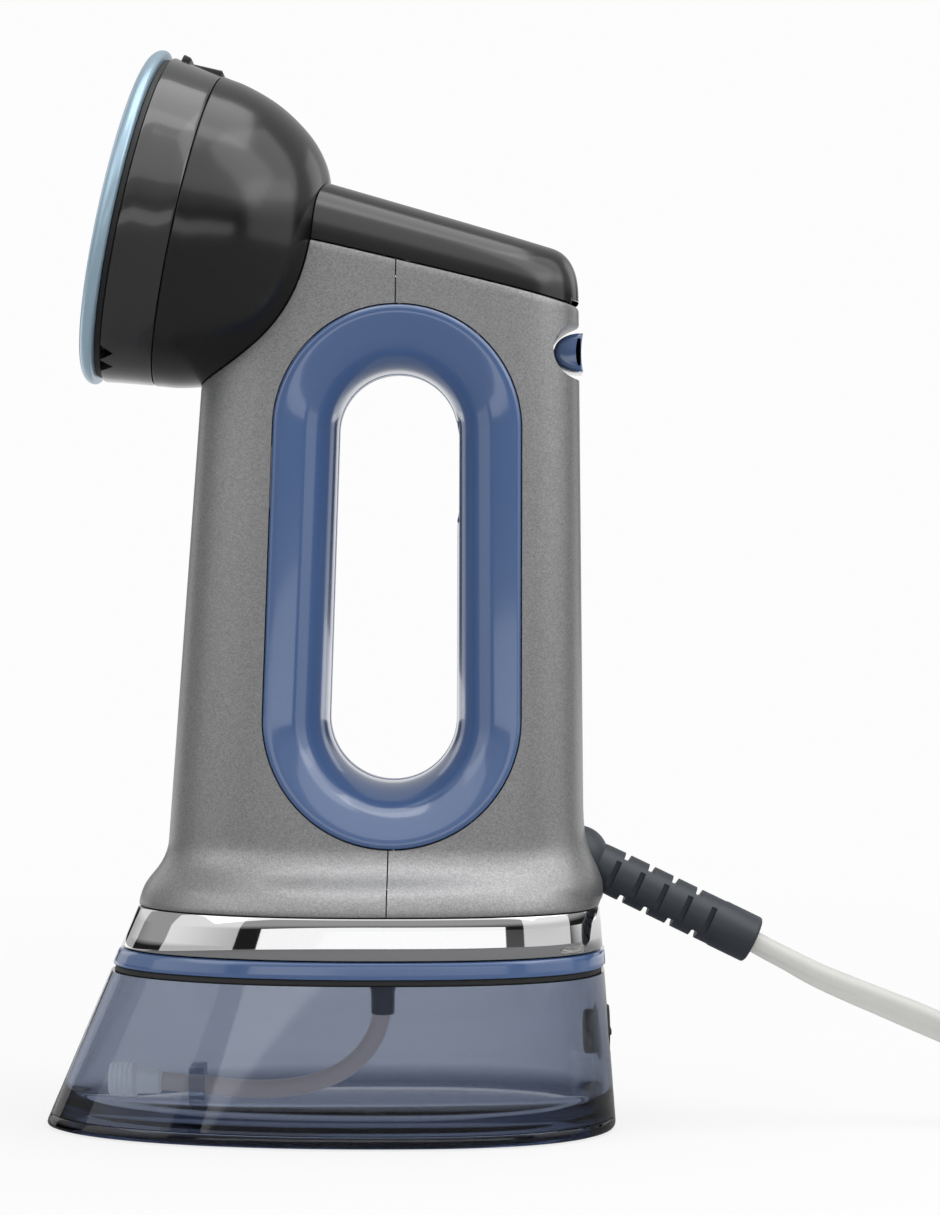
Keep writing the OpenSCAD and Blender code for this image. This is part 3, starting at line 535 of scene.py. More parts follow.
# %% [markdown]
# ## The silver body
# Two painted shells meet at a seam through the finger hole. Their outer face is one surface, so it
# is built whole, rings of it leaning over near the top to follow the sloping edge, and cut at the
# seam afterwards. That keeps the highlight unbroken across the seam, as on the real moulding.

# %% The surface of the housing
sweep = [(0, 0), (0.05, 0.012), (0.10, 0.035), (0.20, 0.105), (0.30, 0.205), (0.38, 0.325),
         (0.45, 0.45),
         (0.53, 0.60), (0.62, 0.74), (0.71, 0.845), (0.80, 0.925), (0.90, 0.978), (1, 1)]
shell_wall, lean_from = 2.2, 120
ball_x, ball_z, ball_r = body_rear - 1.3, band_z1 + 12.4, 7.9


def boss(p, z, height=2.6, middle_z=66.5, half_tall=7.5, half_wide=19):
    """How far the shell swells round the cord's ball, above a crease that rises forward."""
    back = ease((p.x - 50) / 12)
    crease = 58.5 + (68 - p.x) * 0.42
    rise = math.exp(-((z - middle_z) / half_tall) ** 2) * ease((z - crease) / 2.2)
    return height * back * rise * math.exp(-(p.y / half_wide) ** 2)


def housing_point(turn, z, inset=0.0):
    """The base's plan below, the body's plan above, and a blend of both in the sweep."""
    if z < flare_z:
        share = value_at(sweep, (z - band_z1) / flare_h)
        low, high = base_point(turn, band_z1, inset), body_point(turn, flare_z, inset)
        p = low * (1 - share) + high * share
    else:
        p = body_point(turn, z, inset)
    swell = boss(p, z)
    return Vector((p.x + swell, p.y * (1 + swell * 0.022)))


def housing_ring(level, inset=0.0):
    """A ring at that level; above the middle of the body it leans to meet the sloping top edge."""
    lean = ease((level - lean_from) / (body_rear_z - lean_from)) * top_slope
    ring = []
    for turn in body_turns:
        z = level
        for _ in range(4):  # the leaning plane and the outline meet closely after four tries
            p = housing_point(turn, z, inset)
            z = level + lean * max(0, body_rear - p.x)
        ring.append((p.x, p.y, z))
    return ring


levels = [band_z1 + 0.5 + 0.7 * k for k in range(38)] + [85 + 2.6 * k for k in range(49)]
rows = [(band_z1, 0.35), (band_z1 + 0.15, 0.1)] + [(z, 0) for z in levels if z < body_rear_z - 0.7]
rows += [(211.4, 0), (211.75, 0.1), (211.95, 0.32), (212, 0.65), (212, shell_wall)]
rows += [(z, shell_wall) for z in (208, 190, 160, 130, 100, 80, 75, 72, 69, 66, 63, 60, band_z1)]
shell = skin("shell", [housing_ring(z, i) for z, i in rows], loop=True)
print("housing rings:", len(rows))

# %% [markdown]
# The shells are opened where other pieces pass: the long handle hole, the steam head, the ball of
# the cord and the scoop of the thumb lever. Boolean cuts keep these edges crisp.

# %% The handle's outline and the cutters
hole_top, hole_low = (17.8, 180.3, 15.5), (16.5, 106.4, 16.6)
bezel_w = 16.2


def hole_point(turn, grow):
    """A point round the long hole, grown outward."""
    x, z, r = hole_top if math.sin(turn) > 0 else hole_low
    return x + (r + grow) * math.cos(turn), z + (r + grow) * math.sin(turn)


def hole_turns(n):
    """Turns round the hole; the straight sides lie between the first and last of each end."""
    half = n // 2
    upper = [min(math.pi * (i + 0.02) / (half - 0.96), math.pi - 1e-4) + 1e-5 for i in range(half)]
    return upper + [a + math.pi for a in upper]


def sides_between(line, steps=24):
    """Adds points along the two straight sides of a ring round the hole."""
    half = len(line) // 2
    first_end, second_end = line[:half], line[half:]
    left = [first_end[-1].lerp(second_end[0], k / steps) for k in range(1, steps)]
    right = [second_end[-1].lerp(first_end[0], k / steps) for k in range(1, steps)]
    return first_end + left + second_end + right


def hole_outline(grow, n=96):
    """The closed outline of the hole, grown outward, as points (x, z)."""
    return sides_between([Vector(hole_point(t, grow)) for t in hole_turns(n)])


def hole_prism(name, grow, depth):
    line = hole_outline(grow)
    return skin(name, [[(p.x, y, p.y) for p in line] for y in (-depth, depth)])


head_tilt = 12.9
head_place = at((-49.7, 0, 236)) @ turned(head_tilt - 90, "Y")
head_r, head_depth = 43.1, 48.3
bowl_back = [(41.2, 13), (40.2, 20), (37.5, 28.5), (33.3, 36), (28.5, 41.6), (22.5, 45.6),
             (15.1, 47.6), (7.1, 48.2), (0.0, 48.3)]


def head_room(name, grow):
    """The space the steam head takes from its neighbours."""
    back = [(max(0, p.x + grow), -p.y - grow) for p in through(bowl_back, 4)]
    back[-1] = (0, back[-1][1])
    return spin(name, [(0, 0), (head_r + grow, 0)] + back, head_place, 128)


def lying(x, z, radius, half_length, name="roll"):
    """A cylinder along Y."""
    return rod(name, radius, -half_length, half_length, at((x, 0, z)) @ along_y)


thumb_x, thumb_z, thumb_r = body_rear - 0.9, 201, 6.9
boot_pitch, ball_room = 25.9, 8.25
boot_place = at((ball_x, 0, ball_z)) @ turned(90 + boot_pitch, "Y")
cup_rows = [(0, -7.95)] + [(ball_room * math.sin(a), -ball_room * math.cos(a))
                           for a in (math.radians(15 * k) for k in range(1, 9))]
cup = spin("cup", cup_rows + [(7.4, 6), (14.2, 43), (0, 43)], boot_place, 64)
cut(shell, hole_prism("hole", bezel_w + 0.25, 60), head_room("head_room", 0.25), cup)
print("shell points after the cuts:", len(shell.data.vertices))

# %% [markdown]
# The shell is split at its seam. The thumb lever rolls in a scoop across the back edge: the rear
# half is cut with a roll, and a thin curved wall is added as the scoop's floor.


# %% Split at the seam
def half_shell(name, keep):
    """One side of the seam: keep is -1 for the front and 1 for the rear."""
    lean, half_gap = math.radians(0.7), 0.16
    normal = Vector((math.cos(lean), 0, -math.sin(lean)))
    point = Vector((15.5, 0, band_z1)) + normal * half_gap * keep
    tool = bmesh.new()
    tool.from_mesh(shell.data)
    split = bmesh.ops.bisect_plane(tool, geom=tool.verts[:] + tool.edges[:] + tool.faces[:],
                                   dist=1e-7, plane_co=point * MM, plane_no=normal * -keep,
                                   clear_outer=True)
    edges = [e for e in split["geom_cut"] if isinstance(e, bmesh.types.BMEdge)]
    bmesh.ops.edgeloop_fill(tool, edges=edges)
    bmesh.ops.recalc_face_normals(tool, faces=tool.faces)
    mesh = bpy.data.meshes.new(name)
    tool.to_mesh(mesh)
    tool.free()
    return add_piece(name, mesh)


front = half_shell("silver_front", -1)
rear = half_shell("silver_rear", 1)
bpy.data.objects.remove(shell)
scoop_r = thumb_r + 0.45
cut(rear, lying(thumb_x, thumb_z, scoop_r, 60, "scoop"))
fit_in(front, "housing", "silver_paint", "front_shell", angle=28)
print("rear shell cut for the scoop")


# %% The scoop's own wall
def scoop_arc(radius, n=28):
    """Points round the scoop's back, from its upper to its lower lip, kept inside the body."""
    span = math.acos(max(-1, min(1, 0.6 / radius)))
    return [(thumb_x + radius * math.cos(a), thumb_z + radius * math.sin(a))
            for a in (span + 0.12 + (2 * math.pi - 2 * span - 0.24) * i / (n - 1)
                      for i in range(n))]


def scoop_ring(share):
    inner = scoop_arc(scoop_r)
    outer = list(reversed(scoop_arc(thumb_r + 2.4)))
    return [(x, share * (body_y(x, z) - 0.05), z) for x, z in inner + outer]


scoop = skin("scoop_wall", [scoop_ring(-1 + 2 * k / 24) for k in range(25)])
cut(scoop, block("lever_gap", (20, 4.8, 10), at((thumb_x - 10, 0, thumb_z))))
rear = join("silver_rear", rear, scoop)
fit_in(rear, "housing", "silver_paint", "rear_shell", angle=28)

# %% [markdown]
# ## The blue rim of the handle
# Each side has a glossy ring that starts flush with the silver, crowns a little and then rolls into
# the finger hole. Its section is a few points with a smooth line through them. A point is given as
# a distance outside the hole and a share of the body's half-width there, so the ring follows the
# swelling body, which a plain torus could not.

# %% The two bezels
rim_face = [(0, 0.14), (0.05, 0.24), (0.55, 0.44), (1.9, 0.62), (4.3, 0.79), (7.2, 0.905),
            (10.6, 0.975), (13.6, 1.015), (15.3, 1.022)]
rim_edge = [(15.95, 1.008), (16.2, 0.985), (16.2, 0.9)]
rim_back = [(14.2, 0.86), (12, 0.90), (8, 0.84), (4.6, 0.70), (3.2, 0.56), (2, 0.36), (2, 0.14)]
rim_section = [tuple(p) for p in through(rim_face, 5)] + rim_edge + rim_back
rim_inner_y = 2.45


def rim_ring(grow, share, side):
    return [(p.x, side * max(rim_inner_y, share * body_y(p.x, p.y)), p.y)
            for p in hole_outline(grow)]


trigger_z, trigger_h, trigger_w = 170, 26, 18
trigger_face = hole_top[0] + hole_top[2] - 0.2


def trigger_block(name, deep, room, ahead):
    """A block behind the trigger's face, wider and taller than the trigger by room."""
    return block(name, (deep, trigger_w + room, trigger_h + room),
                 at((trigger_face + ahead, 0, trigger_z)))


for side, name, node in ((1, "far_rim", "left_bezel"), (-1, "near_rim", "right_bezel")):
    rim = skin(name, [rim_ring(grow, share, side) for grow, share in rim_section], loop=True)
    fit_in(cut(rim, trigger_block("window", 14, 0.8, 4)), "housing", "blue_gloss", node, angle=38)

# %% [markdown]
# Between the two rings runs a liner with a small step on each side. It closes the hole's inside.

# %% Liner and trigger
liner_rows = [(0.12, -2.2), (0.12, -1.9), (-0.1, -1.7), (-0.1, 1.7), (0.12, 1.9), (0.12, 2.2),
              (2, 2.2), (2, -2.2)]
liner = skin("hole_liner", [[(p.x, y, p.y) for p in hole_outline(grow)] for grow, y in liner_rows],
             loop=True)
fit_in(cut(liner, trigger_block("window", 14, 0.8, 4)), "housing", "liner_blue", "handle_liner")
paddle = trigger_block("finger_trigger", 9, 0, 4.5)
cut(paddle, lying(trigger_face - 58.6, trigger_z, 60, 30, "finger_hollow"))
round_edges(paddle, 0.7, 50)
flange = round_edges(trigger_block("flange", 2, 4, 8), 0.3)
paddle = join("finger_trigger", paddle, flange)
fit_in(paddle, "trigger", "trigger_blue", "trigger")


# %% Thumb lever
def lever_ring(y, inset):
    """The lever's D-shaped side: round behind, nearly flat for the thumb, with a shallow hollow."""
    r, half, dip = thumb_r - inset, 5 - inset, 0.5
    arc = [(thumb_x - r * math.cos(a), thumb_z + half * bulge(math.sin(a), 0.9))
           for a in (math.pi * (0.5 - i / 24) for i in range(25))]
    face_x = thumb_x + 0.7 - inset
    hollow = [(face_x - dip * (1 - k * k), thumb_z + half * k)
              for k in (i / 6 - 1 for i in range(13))]
    return [(x, y, z) for x, z in arc + hollow]


flank = [(9, 1.5), (8.93, 1.1), (8.75, 0.75), (8.4, 0.4), (7.8, 0.12), (7, 0)]
lever_rows = [(-y, i) for y, i in flank] + list(reversed(flank))
lever = skin("thumb_roll", [lever_ring(y, i) for y, i in lever_rows])
stem = block("stem", (5, 4, 2.4), at((thumb_x - thumb_r - 1.5, 0, thumb_z)))
lever = join("thumb_roll", lever, round_edges(stem, 0.3))
fit_in(lever, "thumb_lever", "blue_gloss", "thumb_lever")

# %% [markdown]
# ## The steam head
# Everything here is turned on one leaning axis: a blue soleplate with steam holes, a black seal, a
# graphite ring with notches for attachments, and a glossy bowl behind. Spinning a profile gives
# the long even highlights of a turned shape with few points.

# %% Soleplate
sole_t, seal_t = 4.2, 1.8
rim_points = through([(43.4, 0), (44.15, 0.35), (44.4, 1.1), (44.15, 2.2), (43.3, 3.2), (41.8, 3.9),
                      (39.6, 4.17), (37, 4.2)], 5)
sole_rows = [(0, seal_t)] + [(p.x, p.y + seal_t) for p in rim_points]
sole_rows += [(20, seal_t + sole_t), (0, seal_t + sole_t)]
soleplate = spin("steam_plate", sole_rows, head_place, 160)
holes = []
for ring, (count, radius) in enumerate(zip((6, 12, 18, 24), (9, 17, 25.5, 34))):
    for i in range(count):
        turn = 2 * math.pi * (i + ring / 2) / count
        place = head_place @ at((radius * math.cos(turn), radius * math.sin(turn), seal_t))
        hole_rows = [(0, -1), (1.3, -1), (1.3, 3.5), (1.9, 4.4), (1.9, 5.5), (0, 5.5)]
        holes.append(spin("hole", hole_rows, place, 20))
cut(soleplate, join("holes", *holes))
fit_in(soleplate, "housing", "sole_blue", "soleplate")
seal_rows = [(34, -3), (39.1, -3), (39.1, 0.02), (41.9, 0.02), (42.3, 0.3), (42.3, 1.5),
             (41.9, 1.78), (34, 1.78)]
fit_in(spin("plate_seal", seal_rows, head_place, 160, closed=True), "housing", "seal_black",
       "soleplate_gasket")

# %% Ring, catch and bowl
ring_rows = [(40.1, 0), (42.7, 0), (43.05, -0.15), (43.1, -0.5)]
ring_rows += [(head_r - 1.9 * d / 13, -d) for d in (3, 6, 9, 12.4)]
ring_rows += [(41.0, -12.9), (40.6, -13), (38.1, -13)]
ring = spin("attachment_ring", ring_rows, head_place, 192, closed=True)
notches = []
for side in (-1, 1):
    for k in (-1, 1):
        turn = turned(180 + side * (26 + k * 4.5), "Z")
        place = head_place @ turn @ at((head_r, 0, 0)) @ turned(90, "Y")
        notches.append(rod("notch", 3.4, -3, 3, place, 4))
slot_cut = block("catch_slot", (12, 10.4, 40), head_place @ at((head_r + 3.6, 0, 0)))
cut(ring, *notches, slot_cut)
fit_in(ring, "housing", "graphite_gloss", "front_ring")
strip = round_edges(block("catch", (1.6, 10, 12), head_place @ at((head_r - 1.5, 0, -6.6))), 0.3)
lip_place = head_place @ at((head_r, 0, -2.5)) @ turned(14, "Y")
lip = round_edges(block("lip", (2.4, 8, 2.2), lip_place), 0.4)
fit_in(join("attachment_hook", strip, lip), "housing", "black_satin", "attachment_catch")
bowl_line = through(bowl_back, 6)
outer = [(41.0, -13.25), (41.2, -13.5)]
outer += [(p.x, -p.y) for p in bowl_line[2:-1]] + [(0, -head_depth)]
inner = [(0, -head_depth + 2.2)]
inner += [(max(0.5, p.x - 2.2), -p.y + 1.6) for p in reversed(bowl_line[8:-4])]
bowl = spin("head_bowl_shell", outer + inner + [(38.9, -14), (38.9, -13.25)], head_place, 192,
            closed=True)
fit_in(bowl, "housing", "head_black", "head_bowl", angle=40)

# %% [markdown]
# ## The top cover
# A black glossy lid with a crown that runs down behind the head and rounds over at the back. It is
# a row of arches. Each has its own height, so the end can fall away softly, and each follows the
# body's outline below.

# %% Arches of the cover
crest_angle = 16.2
crest_slope = math.tan(math.radians(crest_angle))
cover_front, cover_end = -14, body_rear - 1.25
tail_start = 0.905


def edge_z(x):
    """Height of the body's sloping top edge."""
    return body_rear_z + (body_rear - x) * top_slope


def crest(x):
    """Height of the cover's crown."""
    return 228.7 + (body_rear - 9.1 - x) * crest_slope


def arch(share, tail_power=2.6, steps=56):
    """One hollow arch across the cover; share is 0 at the front and 1 at the rear end."""
    x = cover_front + (cover_end - cover_front) * share
    k = max(0, (share - tail_start) / (1 - tail_start))
    drop = 1 - (1 - min(k, 1) ** tail_power) ** (1 / tail_power)
    low = edge_z(x) + 0.4
    high = (crest(x) - low) * (1 - 0.86 * drop)
    wide = max(3.0, body_y(x, low) - 0.2)
    wall = min(2.2, 0.3 * high, 0.3 * wide)
    ring = []
    for h, w in ((high, wide), (high - wall, wide - wall)):
        line = []
        for t in (math.pi * i / steps for i in range(steps + 1)):
            line.append((x, w * bulge(math.cos(t), 0.8), low + h * math.sin(t) ** 0.72))
        ring += line if w == wide else list(reversed(line))
    return ring


tail_shares = [tail_start + (1 - tail_start) * (1 - (1 - k / 22) ** 1.7) for k in range(1, 23)]
shares = sorted({round(share, 5) for share in [k / 40 for k in range(37)] + tail_shares})
cover = skin("black_cover", [arch(share) for share in shares])


def on_crest(x):
    return at((x, 0, crest(x))) @ turned(crest_angle, "Y")


def rounded_slab(name, length, width, radius, rows, place):
    """A slab with rounded corners; rows are (height, inset)."""
    rings = []
    for z, inset in rows:
        ring = []
        for corner in range(4):
            cx = (length / 2 - radius) * (1 if corner in (0, 3) else -1)
            cy = (width / 2 - radius) * (1 if corner < 2 else -1)
            for k in range(9):
                a = math.pi / 2 * (corner + k / 8)
                ring.append(place @ Vector((cx + (radius - inset) * math.cos(a),
                                            cy + (radius - inset) * math.sin(a), z)))
        rings.append(ring)
    return skin(name, rings)


strip_x, button_x, lens_x = 30, 26, 44


def strip_bores():
    """Cutters for the button's and the lamp's holes."""
    return (rod("bore", 5.4, -6, 6, on_crest(button_x)),
            rod("bore", 1.8, -6, 6, on_crest(lens_x), 32))


recess = rounded_slab("recess", 56.4, 15.4, 5.2, [(-1.3, 0), (6, 0)], on_crest(strip_x))
rear_step = block("rear_step", (5, 70, 3), at((cover_end + 0.3, 0, edge_z(cover_end) + 0.35)))
cut(cover, head_room("head_room", 0.2), recess, *strip_bores(), rear_step)
fit_in(cover, "housing", "head_black", "top_cover", angle=36)

# %% Control strip, button and lamp
plate = rounded_slab("control_plate", 56, 15, 5,
                     [(-1.25, 0.1), (-1.2, 0), (-0.62, 0), (-0.52, 0.06), (-0.46, 0.22)],
                     on_crest(strip_x))
fit_in(cut(plate, *strip_bores()), "housing", "strip_black", "control_strip")
button_rows = [(0, -4.6), (6.6, -4.6), (6.6, -3.6), (5, -3.5), (5, -0.5), (4.9, -0.2),
               (4.55, -0.02), (3.6, -0.06), (1.8, -0.16), (0, -0.2)]
fit_in(spin("round_button", button_rows, on_crest(button_x), 64), "power_button", "black_satin",
       "power_button")
lens_rows = [(0, -3.4), (1.6, -3.4), (1.6, -0.55), (1.45, -0.38), (0.9, -0.22), (0, -0.16)]
fit_in(spin("signal_lens", lens_rows, on_crest(lens_x), 32), "housing", "lens_clear",
       "indicator_lens")

# %% [markdown]
# ## Where the cord leaves
# A ball swivels in the shell and carries a ribbed bend protector. The ribs are a plain turned
# sleeve with slots sawn into it: pairs above and below, and shorter ones on the sides between.

# %% Bend protector
ball_rows = [(0, -ball_r)] + [(ball_r * math.sin(a), -ball_r * math.cos(a))
                              for a in (math.radians(6 * k) for k in range(1, 23))]
sleeve_rows = [(6.0, 5.6), (6.05, 7.4), (6.1, 12), (6.15, 38), (6.15, 40.1), (6.25, 40.5),
               (6.3, 41), (6.3, 50.1), (6.1, 50.6), (5.6, 50.9), (2.2, 50.9), (2.2, 46), (0, 46)]
boot = spin("bend_sleeve", ball_rows + sleeve_rows, boot_place, 96)
slots, rib_pitch = [], 6.9
for k in range(4):
    for side, off in ((1, 3.0), (-1, 0.0)):
        place = boot_place @ at((side * 7.4, 0, ball_r + 4 + rib_pitch * k + off))
        slots.append(round_edges(block("slot", (6.4, 14.4, 1.7), place), 0.3))
for k in range(5):
    for side in (-1, 1):
        place = boot_place @ at((0, side * 6.4, ball_r + 2.2 + rib_pitch * k))
        slots.append(block("slot", (7.2, 4.2, 1.5), place))
cut(boot, *slots)
fit_in(boot, "housing", "boot_slate", "cord_boot", angle=38)

# %% [markdown]
# ## Tie and mains plug
# The stored coil is held by a soft strap. The plug lies on the coil, a moulded body that swells
# from the cord to its blades.

# %% Strap round the coil
turns_y, turns_half_w, turns_half_h, bend_r, strap_t = -44, 12.9, 8.7, 5, 1.3


def strap_line(thick):
    """The strap's way round the turns of cord, as points (y, z)."""
    line = []
    for corner in range(4):
        y = turns_y + (turns_half_w - bend_r) * (1 if corner in (0, 3) else -1)
        z = turns_half_h + (turns_half_h - bend_r) * (1 if corner < 2 else -1)
        for k in range(9):
            a = math.pi / 2 * (corner + k / 8)
            line.append((y + (bend_r + thick) * math.cos(a), z + (bend_r + thick) * math.sin(a)))
    return line


inner_line, outer_line = strap_line(0), strap_line(strap_t)
strap_rows = ((inner_line, -4.5), (outer_line, -4.2), (outer_line, 4.2), (inner_line, 4.5))
strap = skin("coil_strap",
             [[(coil_x + x, y, max(0.05, z)) for y, z in line] for line, x in strap_rows],
             loop=True)
fit_in(strap, "housing", "tie_black", "coil_tie")

# %% Plug
plug_place = at((256, 46, 24.1)) @ turned(172, "Z")
# Along the plug: (distance from the cord, half width, half height)
plug_rows = [(0, 4.2, 4.2), (0.6, 4.6, 4.6), (4, 4.9, 4.8), (8, 5.3, 5.2), (12, 6.4, 6),
             (16, 9.0, 6.7),
             (20, 11.6, 7.2), (24, 13.0, 7.45), (30, 13.5, 7.5), (33, 13.5, 7.5), (33.7, 13.3, 7.3),
             (34, 12.7, 6.8)]


def plug_ring(x, wide, tall, n=48):
    return [plug_place @ Vector((x, wide * bulge(math.cos(a), 0.72),
                                 tall * bulge(math.sin(a), 0.85)))
            for a in (2 * math.pi * i / n for i in range(n))]


def pair(name, size, ahead):
    """Two blocks where the blades are, half of the blades' distance to each side."""
    return [block(name, size, plug_place @ at((ahead, side * 6.35, 0))) for side in (-1, 1)]


plug = skin("mains_plug", [plug_ring(*row) for row in plug_rows])
fit_in(cut(plug, *pair("blade_slot", (16, 1.7, 6.6), 34)), "housing", "plug_grey", "plug_body",
       angle=42)
blades = [round_edges(blade, 0.45, 50) for blade in pair("blade", (22, 1.5, 6.4), 39)]
fit_in(join("plug_pins", *blades), "housing", "blade_nickel", "plug_blades")

# %% [markdown]
# ## Finishes
# Every finish is one Principled shader with values that vary a little over the surface: no real
# moulding is one flat colour. What several finishes share, a fine grain with slow changes of tone,
# is one node group, placed in each material with its own scale and colours.

# %% The shared surface group
def socket(group, name, kind, way="INPUT", value=None):
    made = group.interface.new_socket(name, in_out=way, socket_type=kind)
    if value is not None:
        made.default_value = value
    return made


def build_surface_group():
    group = bpy.data.node_groups.new("surface_variation", "ShaderNodeTree")
    for name, value in (("Grain Scale", 900.0), ("Cloud Scale", 25.0), ("Rough Low", 0.3),
                        ("Rough High", 0.4)):
        socket(group, name, "NodeSocketFloat", value=value)
    socket(group, "Tone A", "NodeSocketColor", value=(0.5, 0.5, 0.5, 1))
    socket(group, "Tone B", "NodeSocketColor", value=(0.6, 0.6, 0.6, 1))
    socket(group, "Color", "NodeSocketColor", "OUTPUT")
    socket(group, "Roughness", "NodeSocketFloat", "OUTPUT")
    socket(group, "Height", "NodeSocketFloat", "OUTPUT")
    new, link = group.nodes.new, group.links.new
    inputs, outputs = new("NodeGroupInput"), new("NodeGroupOutput")
    place = new("ShaderNodeTexCoord")
    grain, cloud = new("ShaderNodeTexNoise"), new("ShaderNodeTexNoise")
    grain.inputs["Detail"].default_value = 2
    cloud.inputs["Detail"].default_value = 3
    for noise, scale in ((grain, "Grain Scale"), (cloud, "Cloud Scale")):
        link(place.outputs["Object"], noise.inputs["Vector"])
        link(inputs.outputs[scale], noise.inputs["Scale"])
    blend = new("ShaderNodeMath")
    blend.operation = "MULTIPLY_ADD"
    blend.inputs[1].default_value = 0.45
    link(grain.outputs["Fac"], blend.inputs[0])
    part = new("ShaderNodeMath")
    part.operation = "MULTIPLY"
    part.inputs[1].default_value = 0.55
    link(cloud.outputs["Fac"], part.inputs[0])
    link(part.outputs[0], blend.inputs[2])
    tone = new("ShaderNodeMix")
    tone.data_type = "RGBA"
    link(blend.outputs[0], tone.inputs["Factor"])
    link(inputs.outputs["Tone A"], tone.inputs["A"])
    link(inputs.outputs["Tone B"], tone.inputs["B"])
    rough = new("ShaderNodeMapRange")
    link(cloud.outputs["Fac"], rough.inputs["Value"])
    link(inputs.outputs["Rough Low"], rough.inputs["To Min"])
    link(inputs.outputs["Rough High"], rough.inputs["To Max"])
    link(tone.outputs["Result"], outputs.inputs["Color"])
    link(rough.outputs["Result"], outputs.inputs["Roughness"])
    link(grain.outputs["Fac"], outputs.inputs["Height"])
    return group


surface_group = build_surface_group()
print("group:", surface_group.name)


# %% One finish
finishes = {}


def set_values(holder, **values):
    """Sets a node's sockets; an underscore in a name stands for a space."""
    for key, value in values.items():
        holder.inputs[key.replace("_", " ")].default_value = value


def new_material(name):
    """A material, its nodes and its Principled shader."""
    material = bpy.data.materials.new(name)
    material.use_nodes = True
    return material, material.node_tree, material.node_tree.nodes["Principled BSDF"]


def use_surface(tree, shader, low, high, rough, grain, cloud):
    """Lets the shared group drive colour and roughness."""
    surface = tree.nodes.new("ShaderNodeGroup")
    surface.node_tree = surface_group
    set_values(surface, Grain_Scale=grain, Cloud_Scale=cloud, Rough_Low=rough[0],
               Rough_High=rough[1], Tone_A=(*low, 1), Tone_B=(*high, 1))
    tree.links.new(surface.outputs["Color"], shader.inputs["Base Color"])
    tree.links.new(surface.outputs["Roughness"], shader.inputs["Roughness"])
    return surface


def add_bump(tree, shader, height, relief, strength):
    """Fine relief, in millimetres."""
    bump = tree.nodes.new("ShaderNodeBump")
    set_values(bump, Distance=relief * MM, Strength=strength)
    tree.links.new(height, bump.inputs["Height"])
    tree.links.new(bump.outputs["Normal"], shader.inputs["Normal"])


def finish(name, low, high, rough, grain=900, cloud=25, relief=0.0, metal=0.0, **sockets):
    """A material whose tone and gloss wander between two values. relief is in millimetres."""
    finishes[name], tree, shader = new_material(name)
    surface = use_surface(tree, shader, low, high, rough, grain, cloud)
    set_values(shader, Metallic=metal, **sockets)
    if relief:
        add_bump(tree, shader, surface.outputs["Height"], relief, 0.6)


def grey(value, tint=(1, 1, 1)):
    return tuple(value * t for t in tint)


blue_low, blue_high = (0.054, 0.102, 0.230), (0.066, 0.118, 0.255)
finish("seal_black", grey(0.006), grey(0.012), (0.5, 0.65), relief=0.01)
finish("graphite_gloss", grey(0.016), grey(0.022), (0.22, 0.27), metal=0.2, Coat_Weight=0.6,
       Coat_Roughness=0.08)
finish("head_black", grey(0.0035), grey(0.005), (0.18, 0.23), relief=0.004, Coat_Weight=0.15,
       Coat_Roughness=0.10)
finish("strip_black", grey(0.004), grey(0.006), (0.20, 0.26))
finish("black_satin", grey(0.008), grey(0.014), (0.32, 0.42), relief=0.008)
finish("cast_aluminium", grey(0.45), grey(0.6), (0.4, 0.55), grain=500, relief=0.05, metal=1.0)
finish("sheath_steel", grey(0.16), grey(0.24), (0.35, 0.5), metal=1.0)
finish("bright_steel", grey(0.55), grey(0.65), (0.2, 0.3), metal=1.0)
finish("spring_steel", grey(0.5), grey(0.6), (0.22, 0.3), metal=1.0)
finish("fuse_sleeve", (0.66, 0.62, 0.5), (0.72, 0.68, 0.56), (0.6, 0.7), relief=0.05)
finish("blue_gloss", blue_low, blue_high, (0.16, 0.21), Coat_Weight=0.7, Coat_Roughness=0.06)
finish("liner_blue", (0.28, 0.33, 0.47), (0.31, 0.36, 0.50), (0.26, 0.32))
finish("trigger_blue", (0.055, 0.10, 0.23), (0.065, 0.115, 0.26), (0.3, 0.38), relief=0.008)
finish("switch_black", grey(0.012), grey(0.02), (0.4, 0.5))
finish("board_green", (0.02, 0.11, 0.04), (0.03, 0.15, 0.06), (0.3, 0.4), grain=1500)
finish("pump_plastic", grey(0.6, (1, 1, .96)), grey(0.7, (1, 1, .96)), (0.4, 0.5))
finish("frame_black", grey(0.012), grey(0.02), (0.4, 0.5), relief=0.01)
finish("port_white", grey(0.7, (1, 1, .97)), grey(0.78, (1, 1, .97)), (0.35, 0.42))
finish("lid_navy", (0.022, 0.034, 0.06), (0.03, 0.045, 0.075), (0.3, 0.38))
finish("fitting_navy", (0.012, 0.022, 0.045), (0.018, 0.03, 0.06), (0.22, 0.3))
# Painted light: the filter's faint emission stands in for lamp light that the smoked tank wall
# keeps from it.
finish("filter_white", grey(0.62, (.97, 1, 1)), grey(0.75, (.97, 1, 1)), (0.4, 0.5), relief=0.03,
       Emission_Color=(0.9, 0.93, 0.95, 1), Emission_Strength=0.22)
finish("boot_slate", (0.017, 0.023, 0.030), (0.024, 0.031, 0.040), (0.42, 0.52), grain=1400,
       relief=0.012)
finish("tie_black", grey(0.01), grey(0.03), (0.8, 0.95), grain=2600, relief=0.25, Sheen_Weight=0.3)
finish("plug_grey", grey(0.5, (1, 1, .95)), grey(0.56, (1, 1, .95)), (0.38, 0.46), relief=0.01)
finish("blade_nickel", (0.62, 0.56, 0.46), (0.7, 0.64, 0.54), (0.16, 0.24), metal=1.0)
finish("cord_grey", grey(0.56, (1, 1, .955)), grey(0.64, (1, 1, .955)), (0.34, 0.42), grain=1100,
       relief=0.01)
print(len(finishes), "plain finishes")

